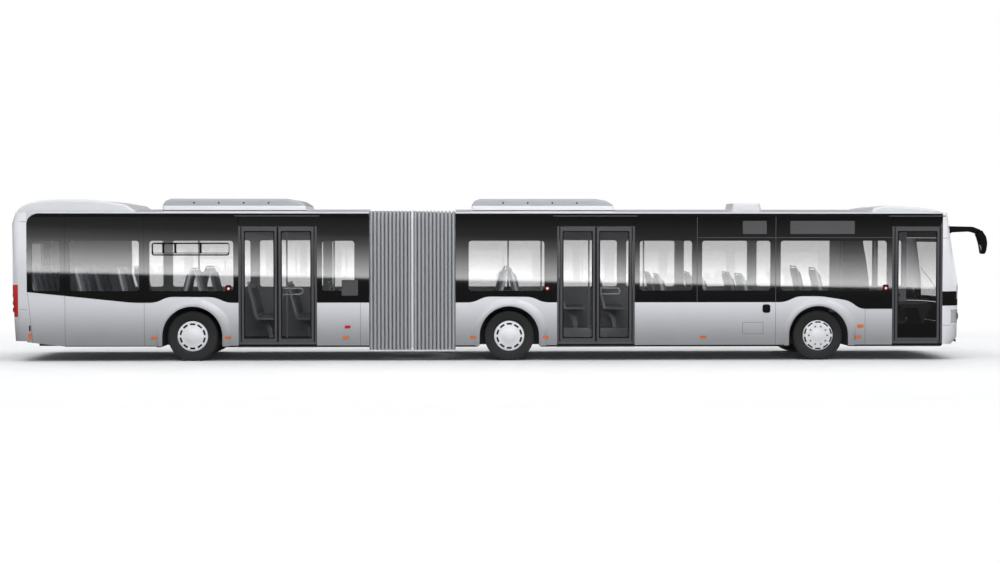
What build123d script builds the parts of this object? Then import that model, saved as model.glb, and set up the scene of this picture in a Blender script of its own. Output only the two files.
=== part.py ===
from build123d import *
import os
from math import hypot, sqrt

# Two-car articulated city bus, millimetres. X forward, Y to the left, Z up from the road.
LENGTH = 18125
WIDTH = 2550
FRONT_OVERHANG = 2805
FRONT_WHEELBASE = 5900
REAR_WHEELBASE = 5990
MIRROR_REACH = 430
PIVOT_BEHIND_MIDDLE_AXLE = 1837
BELLOWS_LENGTH = 1634

# Heights above the road
SKIRT_Z = 282
FLOOR_Z = 320
REAR_FLOOR_Z = 640
BELT_Z = 1105
HUMP_Z = 1217
NOSE_BELT_Z = 975
TAIL_BELT_Z = 1310
WINDOW_LOW_Z = 1330
WINDOW_TOP_Z = 2275
SIGN_LOW_Z = 2338
GLASS_TOP_Z = 2735
ROOF_EDGE_Z = 2809
ROOF_CROWN_Z = 2887
COVER_TOP_Z = 3083
TAIL_LOW_Z = 385

# Shell
WALL_T = 60
FLOOR_T = 60
ROOF_T = 60
GLASS_T = 8
PANEL_GAP = 6
FLARE_PROUD = 12
FLARE_WIDTH = 70
PILLAR_HALF = 95
WINDOW_CORNER = 55

# Wheels
TYRE_R = 470
TYRE_W = 275
SHOULDER = 22
RIM_R = 286
RIM_T = 12
BORE_R = 60
ARCH_R = 565
WHEELHOUSE_R = 600
WHEELHOUSE_T = 25
WHEELHOUSE_INNER_Y = 520
SINGLE_Y = 1085
TWIN_OUTER_Y = 1095
TWIN_SPACING = 320
KINGPIN_Y = 985
KINGPIN_R = 30
SLOT_COUNT = 10
SLOT_RING_R = 221
SLOT_LENGTH = 92
SLOT_W = 32
PIN_CLEAR = 0.3
MOVE_CLEAR = 5

# Doors
DOOR_1_BEHIND_NOSE = 426
DOOR_2_AHEAD_OF_MIDDLE_AXLE = 1647
DOOR_3_AHEAD_OF_REAR_AXLE = 1610
SINGLE_DOOR_W = 968
DOUBLE_DOOR_W = 1480
DOOR_TOP_Z = 2552
JAMB_W = 40
LEAF_T = 40
LEAF_GAP = 8
LEAF_LIFT = 30
LEAF_INSET = 8
STILE_W = 62
COLUMN_R = 18
COLUMN_SET = 50
ARM_OFFSET = 40
ARM_H = 20
ARM_PIN_R = 10
LUG_H = 18
SILL_LIP_T = 3

# Nose and tail
NOSE_ARC_R = 9000
NOSE_CORNER_R = 280
TAIL_ARC_R = 20000
TAIL_CORNER_R = 160
TAIL_DEPTH = 330
BUMPER_LOW_Z = 300
BUMPER_TOP_Z = 660
MASK_TOP_Z = 1034
HEADER_LOW_Z = 2330
CAP_T = 60
LAMP_GAP = 0.4
FLAP_HALF_W = 850
FLAP_LOW_Z = 470
FLAP_TOP_Z = 1290
FLAP_GAP = 18
TOW_BORE_R = 21

# Bellows and turntable
FOLDS = 11
FOLD_DEPTH = 90
SHEET_T = 8
BELLOWS_OUT_Y = 1258
BELLOWS_LOW_Z = 208
BELLOWS_TOP_Z = 2850
BELLOWS_CORNER_R = 190
HOOP_T = 40
TURNTABLE_R = 785
RACE_R = 560
PIVOT_R = 80

# Places along the bus
TAIL_X = -(LENGTH + MIRROR_REACH) / 2
NOSE_X = TAIL_X + LENGTH
FRONT_AXLE_X = NOSE_X - FRONT_OVERHANG
MIDDLE_AXLE_X = FRONT_AXLE_X - FRONT_WHEELBASE
REAR_AXLE_X = MIDDLE_AXLE_X - REAR_WHEELBASE
PIVOT_X = MIDDLE_AXLE_X - PIVOT_BEHIND_MIDDLE_AXLE
FRONT_CAR_X = PIVOT_X + BELLOWS_LENGTH / 2
REAR_CAR_X = PIVOT_X - BELLOWS_LENGTH / 2
CAB_X = NOSE_X - DOOR_1_BEHIND_NOSE
DOOR_1_X = CAB_X - SINGLE_DOOR_W / 2
DOOR_2_X = MIDDLE_AXLE_X + DOOR_2_AHEAD_OF_MIDDLE_AXLE
DOOR_3_X = REAR_AXLE_X + DOOR_3_AHEAD_OF_REAR_AXLE
TAIL_WALL_X = TAIL_X + TAIL_DEPTH
SIDE_Y = WIDTH / 2 - FLARE_PROUD
INNER_Y = SIDE_Y - WALL_T
WHEEL_Z = TYRE_R
HOUSE_TOP_Z = WHEEL_Z + WHEELHOUSE_R + WHEELHOUSE_T
LEAF_LOW_Z = FLOOR_Z + LEAF_LIFT
LEAF_TOP_Z = DOOR_TOP_Z - PANEL_GAP
LEFT = 1
RIGHT = -1

# Pillars between the panes, from the tail to the nose
TAIL_PILLAR_X = REAR_AXLE_X - 2387
REAR_PILLAR_X = REAR_AXLE_X - 902
DOOR_3_REAR_X = DOOR_3_X - DOUBLE_DOOR_W / 2
DOOR_3_FRONT_X = DOOR_3_X + DOUBLE_DOOR_W / 2
DOOR_2_REAR_X = DOOR_2_X - DOUBLE_DOOR_W / 2
DOOR_2_FRONT_X = DOOR_2_X + DOUBLE_DOOR_W / 2
FIRST_PILLAR_X = FRONT_AXLE_X - 2325
SECOND_PILLAR_X = FRONT_AXLE_X - 823
CAB_PILLAR_X = FRONT_AXLE_X + 895
DOOR_1_REAR_X = DOOR_1_X - SINGLE_DOOR_W / 2


def block(x1, x2, y1, y2, z1, z2):
    """A plain box between two corners."""
    with BuildPart() as piece:
        with BuildSketch(Plane.XY.offset(z1)):
            with Locations(((x1 + x2) / 2, (y1 + y2) / 2)):
                Rectangle(x2 - x1, y2 - y1)
        extrude(amount=z2 - z1)
    return piece.part


def side_plate(points, y1, y2):
    """A plate drawn in side view, from y1 to y2."""
    with BuildPart() as piece:
        with BuildSketch(Plane.XZ.offset(-y1)):
            with BuildLine():
                Polyline(*points, close=True)
            make_face()
        extrude(amount=y1 - y2)
    return piece.part


def cross_rod(x, z, radius, y1, y2):
    """A round bar across the bus."""
    with BuildPart() as piece:
        with BuildSketch(Plane.XZ.offset(-y1)):
            with Locations((x, z)):
                Circle(radius)
        extrude(amount=y1 - y2)
    return piece.part


def upright_rod(x, y, radius, z1, z2):
    """A round bar that stands upright."""
    with BuildPart() as piece:
        with BuildSketch(Plane.XY.offset(z1)):
            with Locations((x, y)):
                Circle(radius)
        extrude(amount=z2 - z1)
    return piece.part


def joined(*pieces):
    """Pieces of one node, kept together."""
    with BuildPart() as group:
        for piece in pieces:
            add(piece)
    return group.part


def side_plane(side):
    """The outer face of a side wall, drawn with X across and Z up."""
    return Plane.XZ.offset(-side * SIDE_Y)


def eased(line, reach, steps):
    """A broken line with each corner rounded off into short chords."""
    points = [line[0]]
    for (x0, z0), (x1, z1), (x2, z2) in zip(line, line[1:], line[2:]):
        before = min(reach / hypot(x1 - x0, z1 - z0), 0.5)
        after = min(reach / hypot(x2 - x1, z2 - z1), 0.5)
        start = (x1 + (x0 - x1) * before, z1 + (z0 - z1) * before)
        end = (x1 + (x2 - x1) * after, z1 + (z2 - z1) * after)
        for step in range(steps + 1):
            part = step / steps
            weights = ((1 - part) ** 2, 2 * part * (1 - part), part**2)
            corner = zip((start[0], x1, end[0]), (start[1], z1, end[1]), weights)
            places = [(x * w, z * w) for x, z, w in corner]
            points.append((sum(x for x, _ in places), sum(z for _, z in places)))
    return points + [line[-1]]


# Lower edge of the dark glass band: it rises over each wheel
BELT_EASE = 115
BELT_CHORDS = 4
FRONT_BELT = eased([
    (FRONT_CAR_X, BELT_Z),
    (MIDDLE_AXLE_X - 680, BELT_Z),
    (MIDDLE_AXLE_X - 465, HUMP_Z),
    (MIDDLE_AXLE_X + 430, HUMP_Z - 6),
    (MIDDLE_AXLE_X + 640, BELT_Z),
    (FRONT_AXLE_X - 637, BELT_Z),
    (FRONT_AXLE_X - 413, HUMP_Z),
    (FRONT_AXLE_X + 60, HUMP_Z),
    (FRONT_AXLE_X + 590, HUMP_Z - 85),
    (FRONT_AXLE_X + 790, NOSE_BELT_Z),
    (CAB_X, NOSE_BELT_Z),
], BELT_EASE, BELT_CHORDS)
REAR_BELT = eased([
    (TAIL_WALL_X, TAIL_BELT_Z),
    (REAR_AXLE_X - 1120, BELT_Z),
    (REAR_AXLE_X - 680, BELT_Z),
    (REAR_AXLE_X - 465, HUMP_Z),
    (REAR_AXLE_X + 430, HUMP_Z - 6),
    (REAR_AXLE_X + 640, BELT_Z),
    (REAR_CAR_X, BELT_Z),
], BELT_EASE, BELT_CHORDS)


def belt_height(belt, x):
    """Height of the band's lower edge at a place along the bus."""
    for (x1, z1), (x2, z2) in zip(belt, belt[1:]):
        if x1 <= x <= x2:
            return z1 + (z2 - z1) * (x - x1) / (x2 - x1)
    return belt[-1][1]


def band_outline(belt, x1, x2, lift, top):
    """Outline of the glass band between two places, its lower edge lifted a little."""
    middle = [(x, z + lift) for x, z in belt if x1 + PANEL_GAP < x < x2 - PANEL_GAP]
    low = [(x1, belt_height(belt, x1) + lift)] + middle + [(x2, belt_height(belt, x2) + lift)]
    return low + [(x2, top), (x1, top)]


def wall(belt, x1, x2, side, low, windows, axles):
    """One side panel: skirt, pillars and rails, with windows and wheel arches cut through."""
    with BuildPart() as panel:
        with BuildSketch(side_plane(side)):
            with BuildLine():
                Polyline(*low, (x2, GLASS_TOP_Z), (x1, GLASS_TOP_Z), close=True)
            make_face()
        extrude(amount=side * WALL_T)
        with BuildSketch(side_plane(side)):
            with BuildLine():
                Polyline(*band_outline(belt, x1, x2, 0, GLASS_TOP_Z), close=True)
            make_face()
        extrude(amount=side * GLASS_T, mode=Mode.SUBTRACT)
        with BuildSketch(side_plane(side)):
            for left_x, right_x in windows:
                with Locations(((left_x + right_x) / 2, (WINDOW_LOW_Z + WINDOW_TOP_Z) / 2)):
                    RectangleRounded(right_x - left_x, WINDOW_TOP_Z - WINDOW_LOW_Z, WINDOW_CORNER)
        extrude(amount=side * WALL_T, mode=Mode.SUBTRACT)
        for axle_x in axles:
            with BuildSketch(side_plane(side)):
                with Locations((axle_x, WHEEL_Z)):
                    Circle(ARCH_R + FLARE_WIDTH)
                with Locations((axle_x, SKIRT_Z)):
                    legs = (Align.CENTER, Align.MIN)
                    Rectangle(2 * (ARCH_R + FLARE_WIDTH), WHEEL_Z - SKIRT_Z, align=legs)
                    Rectangle(4 * ARCH_R, 2 * ARCH_R, align=(Align.CENTER, Align.MAX), mode=Mode.SUBTRACT)
            extrude(amount=-side * FLARE_PROUD)
            with BuildSketch(side_plane(side).offset(-side * FLARE_PROUD)):
                with Locations((axle_x, WHEEL_Z)):
                    Circle(ARCH_R)
                with Locations((axle_x, WHEEL_Z - ARCH_R / 2)):
                    Rectangle(2 * ARCH_R, ARCH_R)
            extrude(amount=side * (WALL_T + FLARE_PROUD), mode=Mode.SUBTRACT)
    return panel.part


def pane(belt, x1, x2, side, low, top):
    """One bonded pane of the dark glass band."""
    with BuildPart() as sheet:
        with BuildSketch(side_plane(side)):
            outline = band_outline(belt, x1 + PANEL_GAP / 2, x2 - PANEL_GAP / 2, PANEL_GAP, top)
            with BuildLine():
                Polyline(*outline, close=True)
            make_face()
            if low:
                with Locations(((x1 + x2) / 2, low / 2)):
                    Rectangle(2 * (x2 - x1), low, mode=Mode.SUBTRACT)
        extrude(amount=side * GLASS_T)
    return sheet.part


def header(x1, x2):
    """The lintel over a doorway, which carries the door gear."""
    return block(x1, x2, -SIDE_Y, -INNER_Y, DOOR_TOP_Z, GLASS_TOP_Z)


def jamb(edge_x, inward):
    """Door post beside a doorway's edge; inward is 1 where the doorway lies ahead of it."""
    x1, x2 = sorted((edge_x + inward * PIN_CLEAR, edge_x + inward * JAMB_W))
    return block(x1, x2, -SIDE_Y, -SIDE_Y + JAMB_W, FLOOR_Z + PIN_CLEAR, DOOR_TOP_Z - PIN_CLEAR)


def square_low(x1, x2):
    """Level lower edge of a side panel."""
    return [(x1, SKIRT_Z), (x2, SKIRT_Z)]


def between(x1, x2):
    """Window opening between two pillars."""
    return (x1 + PILLAR_HALF, x2 - PILLAR_HALF)


# Side walls of the front car
front_right_rear = wall(
    FRONT_BELT, FRONT_CAR_X, DOOR_2_REAR_X, RIGHT, square_low(FRONT_CAR_X, DOOR_2_REAR_X),
    [(FRONT_CAR_X + 250, DOOR_2_REAR_X - 240)], [MIDDLE_AXLE_X],
)
front_right_middle = wall(
    FRONT_BELT, DOOR_2_FRONT_X, DOOR_1_REAR_X, RIGHT, square_low(DOOR_2_FRONT_X, DOOR_1_REAR_X),
    [
        between(DOOR_2_FRONT_X, FIRST_PILLAR_X),
        between(FIRST_PILLAR_X, SECOND_PILLAR_X),
        between(SECOND_PILLAR_X, DOOR_1_REAR_X),
    ],
    [FRONT_AXLE_X],
)
front_left = wall(
    FRONT_BELT, FRONT_CAR_X, CAB_X, LEFT, square_low(FRONT_CAR_X, CAB_X),
    [
        (FRONT_CAR_X + 250, DOOR_2_REAR_X - PILLAR_HALF),
        between(DOOR_2_REAR_X, DOOR_2_FRONT_X),
        between(DOOR_2_FRONT_X, FIRST_PILLAR_X),
        between(FIRST_PILLAR_X, SECOND_PILLAR_X),
        between(SECOND_PILLAR_X, CAB_PILLAR_X),
        between(CAB_PILLAR_X, CAB_X),
    ],
    [MIDDLE_AXLE_X, FRONT_AXLE_X],
)
front_post = joined(
    block(CAB_X - JAMB_W, CAB_X, -SIDE_Y, -INNER_Y, SKIRT_Z, GLASS_TOP_Z),
    header(DOOR_1_REAR_X + PANEL_GAP, CAB_X),
)
with BuildPart() as front_walls:
    add(front_right_rear)
    add(header(DOOR_2_REAR_X + PANEL_GAP, DOOR_2_FRONT_X - PANEL_GAP))
    add(front_right_middle)
    add(front_post)
    add(front_left)
    add(jamb(DOOR_2_REAR_X, 1))
    add(jamb(DOOR_2_FRONT_X, -1))
    add(jamb(DOOR_1_REAR_X, 1))

# Side walls of the rear car, cut up at the tail
TAIL_RISE_Z = TAIL_LOW_Z - 20
rear_low = [(TAIL_WALL_X, TAIL_RISE_Z), (TAIL_PILLAR_X, SKIRT_Z)]
rear_right_rear = wall(
    REAR_BELT, TAIL_WALL_X, DOOR_3_REAR_X, RIGHT, rear_low + [(DOOR_3_REAR_X, SKIRT_Z)],
    [
        between(TAIL_WALL_X, TAIL_PILLAR_X),
        between(TAIL_PILLAR_X, REAR_PILLAR_X),
        between(REAR_PILLAR_X, DOOR_3_REAR_X),
    ],
    [REAR_AXLE_X],
)
rear_right_front = wall(
    REAR_BELT, DOOR_3_FRONT_X, REAR_CAR_X, RIGHT, square_low(DOOR_3_FRONT_X, REAR_CAR_X),
    [(DOOR_3_FRONT_X + PILLAR_HALF, REAR_CAR_X - 280)], [],
)
rear_left = wall(
    REAR_BELT, TAIL_WALL_X, REAR_CAR_X, LEFT, rear_low + [(REAR_CAR_X, SKIRT_Z)],
    [
        between(TAIL_PILLAR_X, REAR_PILLAR_X),
        between(REAR_PILLAR_X, DOOR_3_REAR_X),
        between(DOOR_3_REAR_X, DOOR_3_FRONT_X),
        (DOOR_3_FRONT_X + PILLAR_HALF, REAR_CAR_X - 280),
    ],
    [REAR_AXLE_X],
)
with BuildPart() as rear_walls:
    add(rear_right_rear)
    add(header(DOOR_3_REAR_X + PANEL_GAP, DOOR_3_FRONT_X - PANEL_GAP))
    add(rear_right_front)
    add(rear_left)
    add(jamb(DOOR_3_REAR_X, 1))
    add(jamb(DOOR_3_FRONT_X, -1))


# Nose and tail: plan outline with a bowed end and round corners, narrower by an inset
def end_outline(start_x, tip_x, arc_r, corner_r, inset, z):
    """Plan outline of the nose or tail at one height, as a face."""
    half = SIDE_Y - inset
    ahead = 1 if tip_x > start_x else -1
    tip = tip_x - ahead * inset
    bend = arc_r - inset
    shoulder = tip - ahead * (bend - sqrt(bend**2 - half**2))
    with BuildSketch(Plane.XY.offset(z)) as outline:
        with BuildLine():
            Polyline((shoulder, -half), (start_x, -half), (start_x, half), (shoulder, half))
            ThreePointArc((shoulder, half), (tip, 0), (shoulder, -half))
        make_face()
        corners = outline.vertices().sort_by(Axis.X)
        radius = min(corner_r - inset, 0.95 * abs(shoulder - start_x))
        fillet(corners[-2:] if ahead > 0 else corners[:2], radius)
    return outline.sketch


def end_body(start_x, sections, arc_r, inset):
    """Solid end of the bus through its plan outlines, inset to hollow it."""
    with BuildPart() as body:
        for z, tip_x, corner_r in sections:
            add(end_outline(start_x, tip_x, arc_r, corner_r, inset, z))
        loft(ruled=True)
    return body.part


NOSE_TOP_Z = ROOF_EDGE_Z
NOSE_BREAK_Z = 1400
NOSE_TUCK = 150
NOSE_LEAN = 245
TAIL_BREAK_Z = 2600
TAIL_LEAN = 70
nose_sections = [
    (BUMPER_LOW_Z, NOSE_X - NOSE_TUCK, NOSE_CORNER_R - 100),
    (BUMPER_LOW_Z + 120, NOSE_X - 20, NOSE_CORNER_R),
    (NOSE_BREAK_Z, NOSE_X, NOSE_CORNER_R),
    (NOSE_TOP_Z, NOSE_X - NOSE_LEAN, NOSE_CORNER_R - 160),
]
tail_sections = [
    (TAIL_LOW_Z, TAIL_X + 50, TAIL_CORNER_R),
    (TAIL_BELT_Z, TAIL_X, TAIL_CORNER_R),
    (TAIL_BREAK_Z, TAIL_X, TAIL_CORNER_R),
    (ROOF_EDGE_Z, TAIL_X + TAIL_LEAN, TAIL_CORNER_R),
]
FAR = 2 * WIDTH
nose_solid = end_body(CAB_X, nose_sections, NOSE_ARC_R, 0)
nose_room = end_body(CAB_X - 1, nose_sections, NOSE_ARC_R, WALL_T)
nose_back_of_glass = end_body(CAB_X - 1, nose_sections, NOSE_ARC_R, GLASS_T)
tail_solid = end_body(TAIL_WALL_X, tail_sections, TAIL_ARC_R, 0)
tail_room = end_body(TAIL_WALL_X + 1, tail_sections, TAIL_ARC_R, WALL_T)
tail_back_of_glass = end_body(TAIL_WALL_X + 1, tail_sections, TAIL_ARC_R, GLASS_T)


def slab(x1, x2, z1, z2):
    """Everything between two heights, for cutting an end of the bus into its panels."""
    return block(x1, x2, -FAR / 2, FAR / 2, z1, z2)


LAMP_INNER_Y = 720
LAMP_LOW_Z = 700
LAMP_TOP_Z = 960
LAMP_BACK_X = NOSE_X - 260


def headlamp_space(side, gap):
    """Space taken by one headlamp in the mask."""
    low = side * (LAMP_INNER_Y - gap)
    high = side * SIDE_Y
    return block(
        LAMP_BACK_X - gap, NOSE_X + gap, min(low, high), max(low, high), LAMP_LOW_Z - gap, LAMP_TOP_Z + gap
    )


def slit(y, z1, z2):
    """Hairline joint across the nose, between two sections of a panel."""
    return block(CAB_X - 1, NOSE_X + 1, y - LAMP_GAP / 2, y + LAMP_GAP / 2, z1, z2)


TOW_Z = 420
TOW_Y = 500
TOW_BAY_HALF = 70
tow_bay = (TOW_Y - TOW_BAY_HALF, TOW_Y + TOW_BAY_HALF)
with BuildPart() as bumper:
    add(nose_solid)
    add(nose_room, mode=Mode.SUBTRACT)
    add(slab(CAB_X - 1, NOSE_X + 1, BUMPER_LOW_Z, BUMPER_TOP_Z), mode=Mode.INTERSECT)
    add(
        block(CAB_X, NOSE_X + 1, *tow_bay, TOW_Z - TOW_BAY_HALF, TOW_Z + TOW_BAY_HALF),
        mode=Mode.SUBTRACT,
    )
    for edge in tow_bay:
        add(slit(edge, BUMPER_LOW_Z - 1, BUMPER_TOP_Z + 1), mode=Mode.SUBTRACT)
with BuildPart() as mask:
    add(nose_solid)
    add(nose_room, mode=Mode.SUBTRACT)
    add(slab(CAB_X - 1, NOSE_X + 1, BUMPER_TOP_Z + PANEL_GAP, MASK_TOP_Z), mode=Mode.INTERSECT)
    for side in (LEFT, RIGHT):
        add(headlamp_space(side, LAMP_GAP), mode=Mode.SUBTRACT)
with BuildPart() as header_room:
    add(nose_room)
    add(slab(CAB_X - 2, NOSE_X, 0, NOSE_TOP_Z - CAP_T), mode=Mode.INTERSECT)
with BuildPart() as nose_header:
    add(nose_solid)
    add(header_room.part, mode=Mode.SUBTRACT)
    add(slab(CAB_X - 1, NOSE_X + 1, HEADER_LOW_Z, NOSE_TOP_Z), mode=Mode.INTERSECT)
with BuildPart() as front_panels:
    add(bumper.part)
    add(mask.part)
    add(nose_header.part)
with BuildPart() as windscreen:
    add(nose_solid)
    add(nose_back_of_glass, mode=Mode.SUBTRACT)
    add(
        slab(CAB_X - 1, NOSE_X + 1, MASK_TOP_Z + PANEL_GAP, HEADER_LOW_Z - PANEL_GAP),
        mode=Mode.INTERSECT,
    )


def headlamp(side):
    """One headlamp, as thick as the mask it fills."""
    with BuildPart() as lamp:
        add(nose_solid)
        add(nose_room, mode=Mode.SUBTRACT)
        add(headlamp_space(side, 0), mode=Mode.INTERSECT)
    return lamp.part


with BuildPart() as headlamps:
    add(headlamp(LEFT))
    add(headlamp(RIGHT))

# Panes along the front car: ends, side, and the height of a sign strip's joint
FRONT_PANES = [
    (FRONT_CAR_X, DOOR_2_REAR_X, RIGHT, False),
    (DOOR_2_FRONT_X, FIRST_PILLAR_X, RIGHT, False),
    (FIRST_PILLAR_X, SECOND_PILLAR_X, RIGHT, True),
    (SECOND_PILLAR_X, DOOR_1_REAR_X, RIGHT, True),
    (FRONT_CAR_X, DOOR_2_REAR_X, LEFT, False),
    (DOOR_2_REAR_X, DOOR_2_FRONT_X, LEFT, False),
    (DOOR_2_FRONT_X, FIRST_PILLAR_X, LEFT, False),
    (FIRST_PILLAR_X, SECOND_PILLAR_X, LEFT, False),
    (SECOND_PILLAR_X, CAB_PILLAR_X, LEFT, False),
    (CAB_PILLAR_X, CAB_X, LEFT, False),
]
REAR_PANES = [
    (TAIL_WALL_X, TAIL_PILLAR_X, RIGHT),
    (TAIL_PILLAR_X, REAR_PILLAR_X, RIGHT),
    (REAR_PILLAR_X, DOOR_3_REAR_X, RIGHT),
    (DOOR_3_FRONT_X, REAR_CAR_X, RIGHT),
    (TAIL_WALL_X, TAIL_PILLAR_X, LEFT),
    (TAIL_PILLAR_X, REAR_PILLAR_X, LEFT),
    (REAR_PILLAR_X, DOOR_3_REAR_X, LEFT),
    (DOOR_3_REAR_X, DOOR_3_FRONT_X, LEFT),
    (DOOR_3_FRONT_X, REAR_CAR_X, LEFT),
]
PANE_TOP_Z = GLASS_TOP_Z - PANEL_GAP
with BuildPart() as front_glass:
    for x1, x2, side, signs in FRONT_PANES:
        if signs:
            add(pane(FRONT_BELT, x1, x2, side, 0, SIGN_LOW_Z - PANEL_GAP))
            add(pane(FRONT_BELT, x1, x2, side, SIGN_LOW_Z, PANE_TOP_Z))
        else:
            add(pane(FRONT_BELT, x1, x2, side, 0, PANE_TOP_Z))

# Tail: shell, rear window, lamps in the corners and the engine flap
REAR_WINDOW_HALF_W = 1000
REAR_WINDOW_LOW_Z = 1480
REAR_WINDOW_TOP_Z = 2280
TAIL_LAMP_LOW_Z = 841
TAIL_LAMP_TOP_Z = 1448
TAIL_LAMP_INNER_Y = 1010
TAIL_LAMP_WRAP = 165
HINGE_X = TAIL_X + 20
HINGE_Z = FLAP_TOP_Z - 14
HINGE_Y = 400
HINGE_HALF_W = 30
HINGE_PIN_R = 6
HINGE_BARREL_R = 12


def tail_lamp_space(side, gap):
    """Space taken by one tail lamp at a corner."""
    low = side * (TAIL_LAMP_INNER_Y - gap)
    high = side * (SIDE_Y + 1)
    return block(
        TAIL_X - 1, TAIL_X + TAIL_LAMP_WRAP + gap, min(low, high), max(low, high),
        TAIL_LAMP_LOW_Z - gap, TAIL_LAMP_TOP_Z + gap,
    )


def tail_pane(gap):
    """The rear window, larger by a gap to cut its seat."""
    with BuildPart() as sheet:
        add(tail_solid)
        add(tail_back_of_glass, mode=Mode.SUBTRACT)
        half = REAR_WINDOW_HALF_W + gap
        low_z = REAR_WINDOW_LOW_Z - gap
        top_z = REAR_WINDOW_TOP_Z + gap
        add(block(TAIL_X - 1, TAIL_X + TAIL_DEPTH, -half, half, low_z, top_z), mode=Mode.INTERSECT)
    return sheet.part


def flap_space(side_gap, top_gap):
    """Space taken by the engine flap in the tail."""
    half = FLAP_HALF_W + side_gap
    return block(
        TAIL_X - 1, TAIL_X + TAIL_DEPTH, -half, half, FLAP_LOW_Z - side_gap, FLAP_TOP_Z + top_gap
    )


with BuildPart() as tail_hollow:
    add(tail_room)
    add(slab(TAIL_X, TAIL_WALL_X + 2, 0, ROOF_EDGE_Z - CAP_T), mode=Mode.INTERSECT)
with BuildPart() as tail_shell:
    add(tail_solid)
    add(tail_hollow.part, mode=Mode.SUBTRACT)
with BuildPart() as tail_panel:
    add(tail_shell.part)
    add(tail_pane(PANEL_GAP / 2), mode=Mode.SUBTRACT)
    add(
        block(
            TAIL_X - 1, TAIL_X + 150, -REAR_WINDOW_HALF_W + 60, REAR_WINDOW_HALF_W - 60,
            REAR_WINDOW_LOW_Z + 60, REAR_WINDOW_TOP_Z - 60,
        ),
        mode=Mode.SUBTRACT,
    )
    add(flap_space(PANEL_GAP, FLAP_GAP), mode=Mode.SUBTRACT)
    for side in (LEFT, RIGHT):
        add(tail_lamp_space(side, LAMP_GAP), mode=Mode.SUBTRACT)
    for y in (-HINGE_Y, HINGE_Y):
        add(cross_rod(HINGE_X, HINGE_Z, HINGE_PIN_R, y - HINGE_HALF_W - 25, y + HINGE_HALF_W + 25))
        for edge in (y - HINGE_HALF_W - 25, y + HINGE_HALF_W + 10):
            add(block(HINGE_X - 9, HINGE_X + 9, edge, edge + 15, HINGE_Z - 9, FLAP_TOP_Z + FLAP_GAP + 5))
with BuildPart() as engine_flap:
    add(tail_shell.part)
    add(flap_space(0, 0), mode=Mode.INTERSECT)
    for y in (-HINGE_Y, HINGE_Y):
        half = HINGE_HALF_W + 35
        add(
            block(TAIL_X - 1, TAIL_X + 150, y - half, y + half, HINGE_Z - 40, FLAP_TOP_Z + 1),
            mode=Mode.SUBTRACT,
        )
        add(block(HINGE_X - 6, HINGE_X + 6, y - HINGE_HALF_W, y + HINGE_HALF_W, HINGE_Z - 45, HINGE_Z))
        add(cross_rod(HINGE_X, HINGE_Z, HINGE_BARREL_R, y - HINGE_HALF_W, y + HINGE_HALF_W))
        add(
            cross_rod(HINGE_X, HINGE_Z, HINGE_PIN_R + PIN_CLEAR, y - HINGE_HALF_W, y + HINGE_HALF_W),
            mode=Mode.SUBTRACT,
        )


def tail_lamp(side):
    """One tail lamp, as thick as the shell."""
    with BuildPart() as lamp:
        add(tail_shell.part)
        add(tail_lamp_space(side, 0), mode=Mode.INTERSECT)
    return lamp.part


with BuildPart() as tail_lamps:
    add(tail_lamp(LEFT))
    add(tail_lamp(RIGHT))
with BuildPart() as rear_glass:
    add(tail_pane(0))
    for x1, x2, side in REAR_PANES:
        add(pane(REAR_BELT, x1, x2, side, 0, PANE_TOP_Z))

# Roofs
ROOF_CORNER_R = 45


def roof_skin(x1, x2, hollow):
    """A cambered roof, hollow underneath or filled to cut other pieces to its shape."""
    with BuildPart() as skin:
        with BuildSketch(Plane.YZ.offset(x1)) as outline:
            with BuildLine():
                Polyline(
                    (SIDE_Y, ROOF_EDGE_Z), (SIDE_Y, GLASS_TOP_Z),
                    (-SIDE_Y, GLASS_TOP_Z), (-SIDE_Y, ROOF_EDGE_Z),
                )
                ThreePointArc((-SIDE_Y, ROOF_EDGE_Z), (0, ROOF_CROWN_Z), (SIDE_Y, ROOF_EDGE_Z))
            make_face()
            corners = [v for v in outline.vertices() if v.Y > ROOF_EDGE_Z - 1]
            fillet(corners, ROOF_CORNER_R)
            if hollow:
                edge_z = ROOF_EDGE_Z - ROOF_T
                open_z = GLASS_TOP_Z - 1
                with BuildLine():
                    Polyline((INNER_Y, edge_z), (INNER_Y, open_z), (-INNER_Y, open_z), (-INNER_Y, edge_z))
                    ThreePointArc((-INNER_Y, edge_z), (0, ROOF_CROWN_Z - ROOF_T), (INNER_Y, edge_z))
                make_face(mode=Mode.SUBTRACT)
        extrude(amount=x2 - x1)
    return skin.part


front_roof_fill = roof_skin(FRONT_CAR_X, CAB_X, False)
rear_roof_fill = roof_skin(TAIL_WALL_X, REAR_CAR_X, False)
with BuildPart() as front_roof:
    add(roof_skin(FRONT_CAR_X, CAB_X, True))
with BuildPart() as rear_roof:
    add(roof_skin(TAIL_WALL_X, REAR_CAR_X, True))

# Covers that stand on the roofs
POD_LENGTH = 2780
POD_HALF_W = 880
POD_EDGE_R = 50
FRONT_POD_BEHIND_MIDDLE_AXLE = 720
REAR_POD_BEHIND_REAR_AXLE = 630
FAIRING_HALF_W = 1060
COWL_HALF_W = 1000


def roof_cover(points, half, roof_fill):
    """A cover drawn in side view, with rounded long edges, fitted to the roof below."""
    with BuildPart() as cover:
        with BuildSketch(Plane.XZ.offset(half)):
            with BuildLine():
                Polyline(*points, close=True)
            make_face()
        extrude(amount=-2 * half)
        rims = cover.faces().sort_by(Axis.Y)
        low = ROOF_EDGE_Z + 1
        edges = [e for face in (rims[0], rims[-1]) for e in face.edges() if e.center().Z > low]
        fillet(edges, POD_EDGE_R)
        add(roof_fill, mode=Mode.SUBTRACT)
    return cover.part


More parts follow.
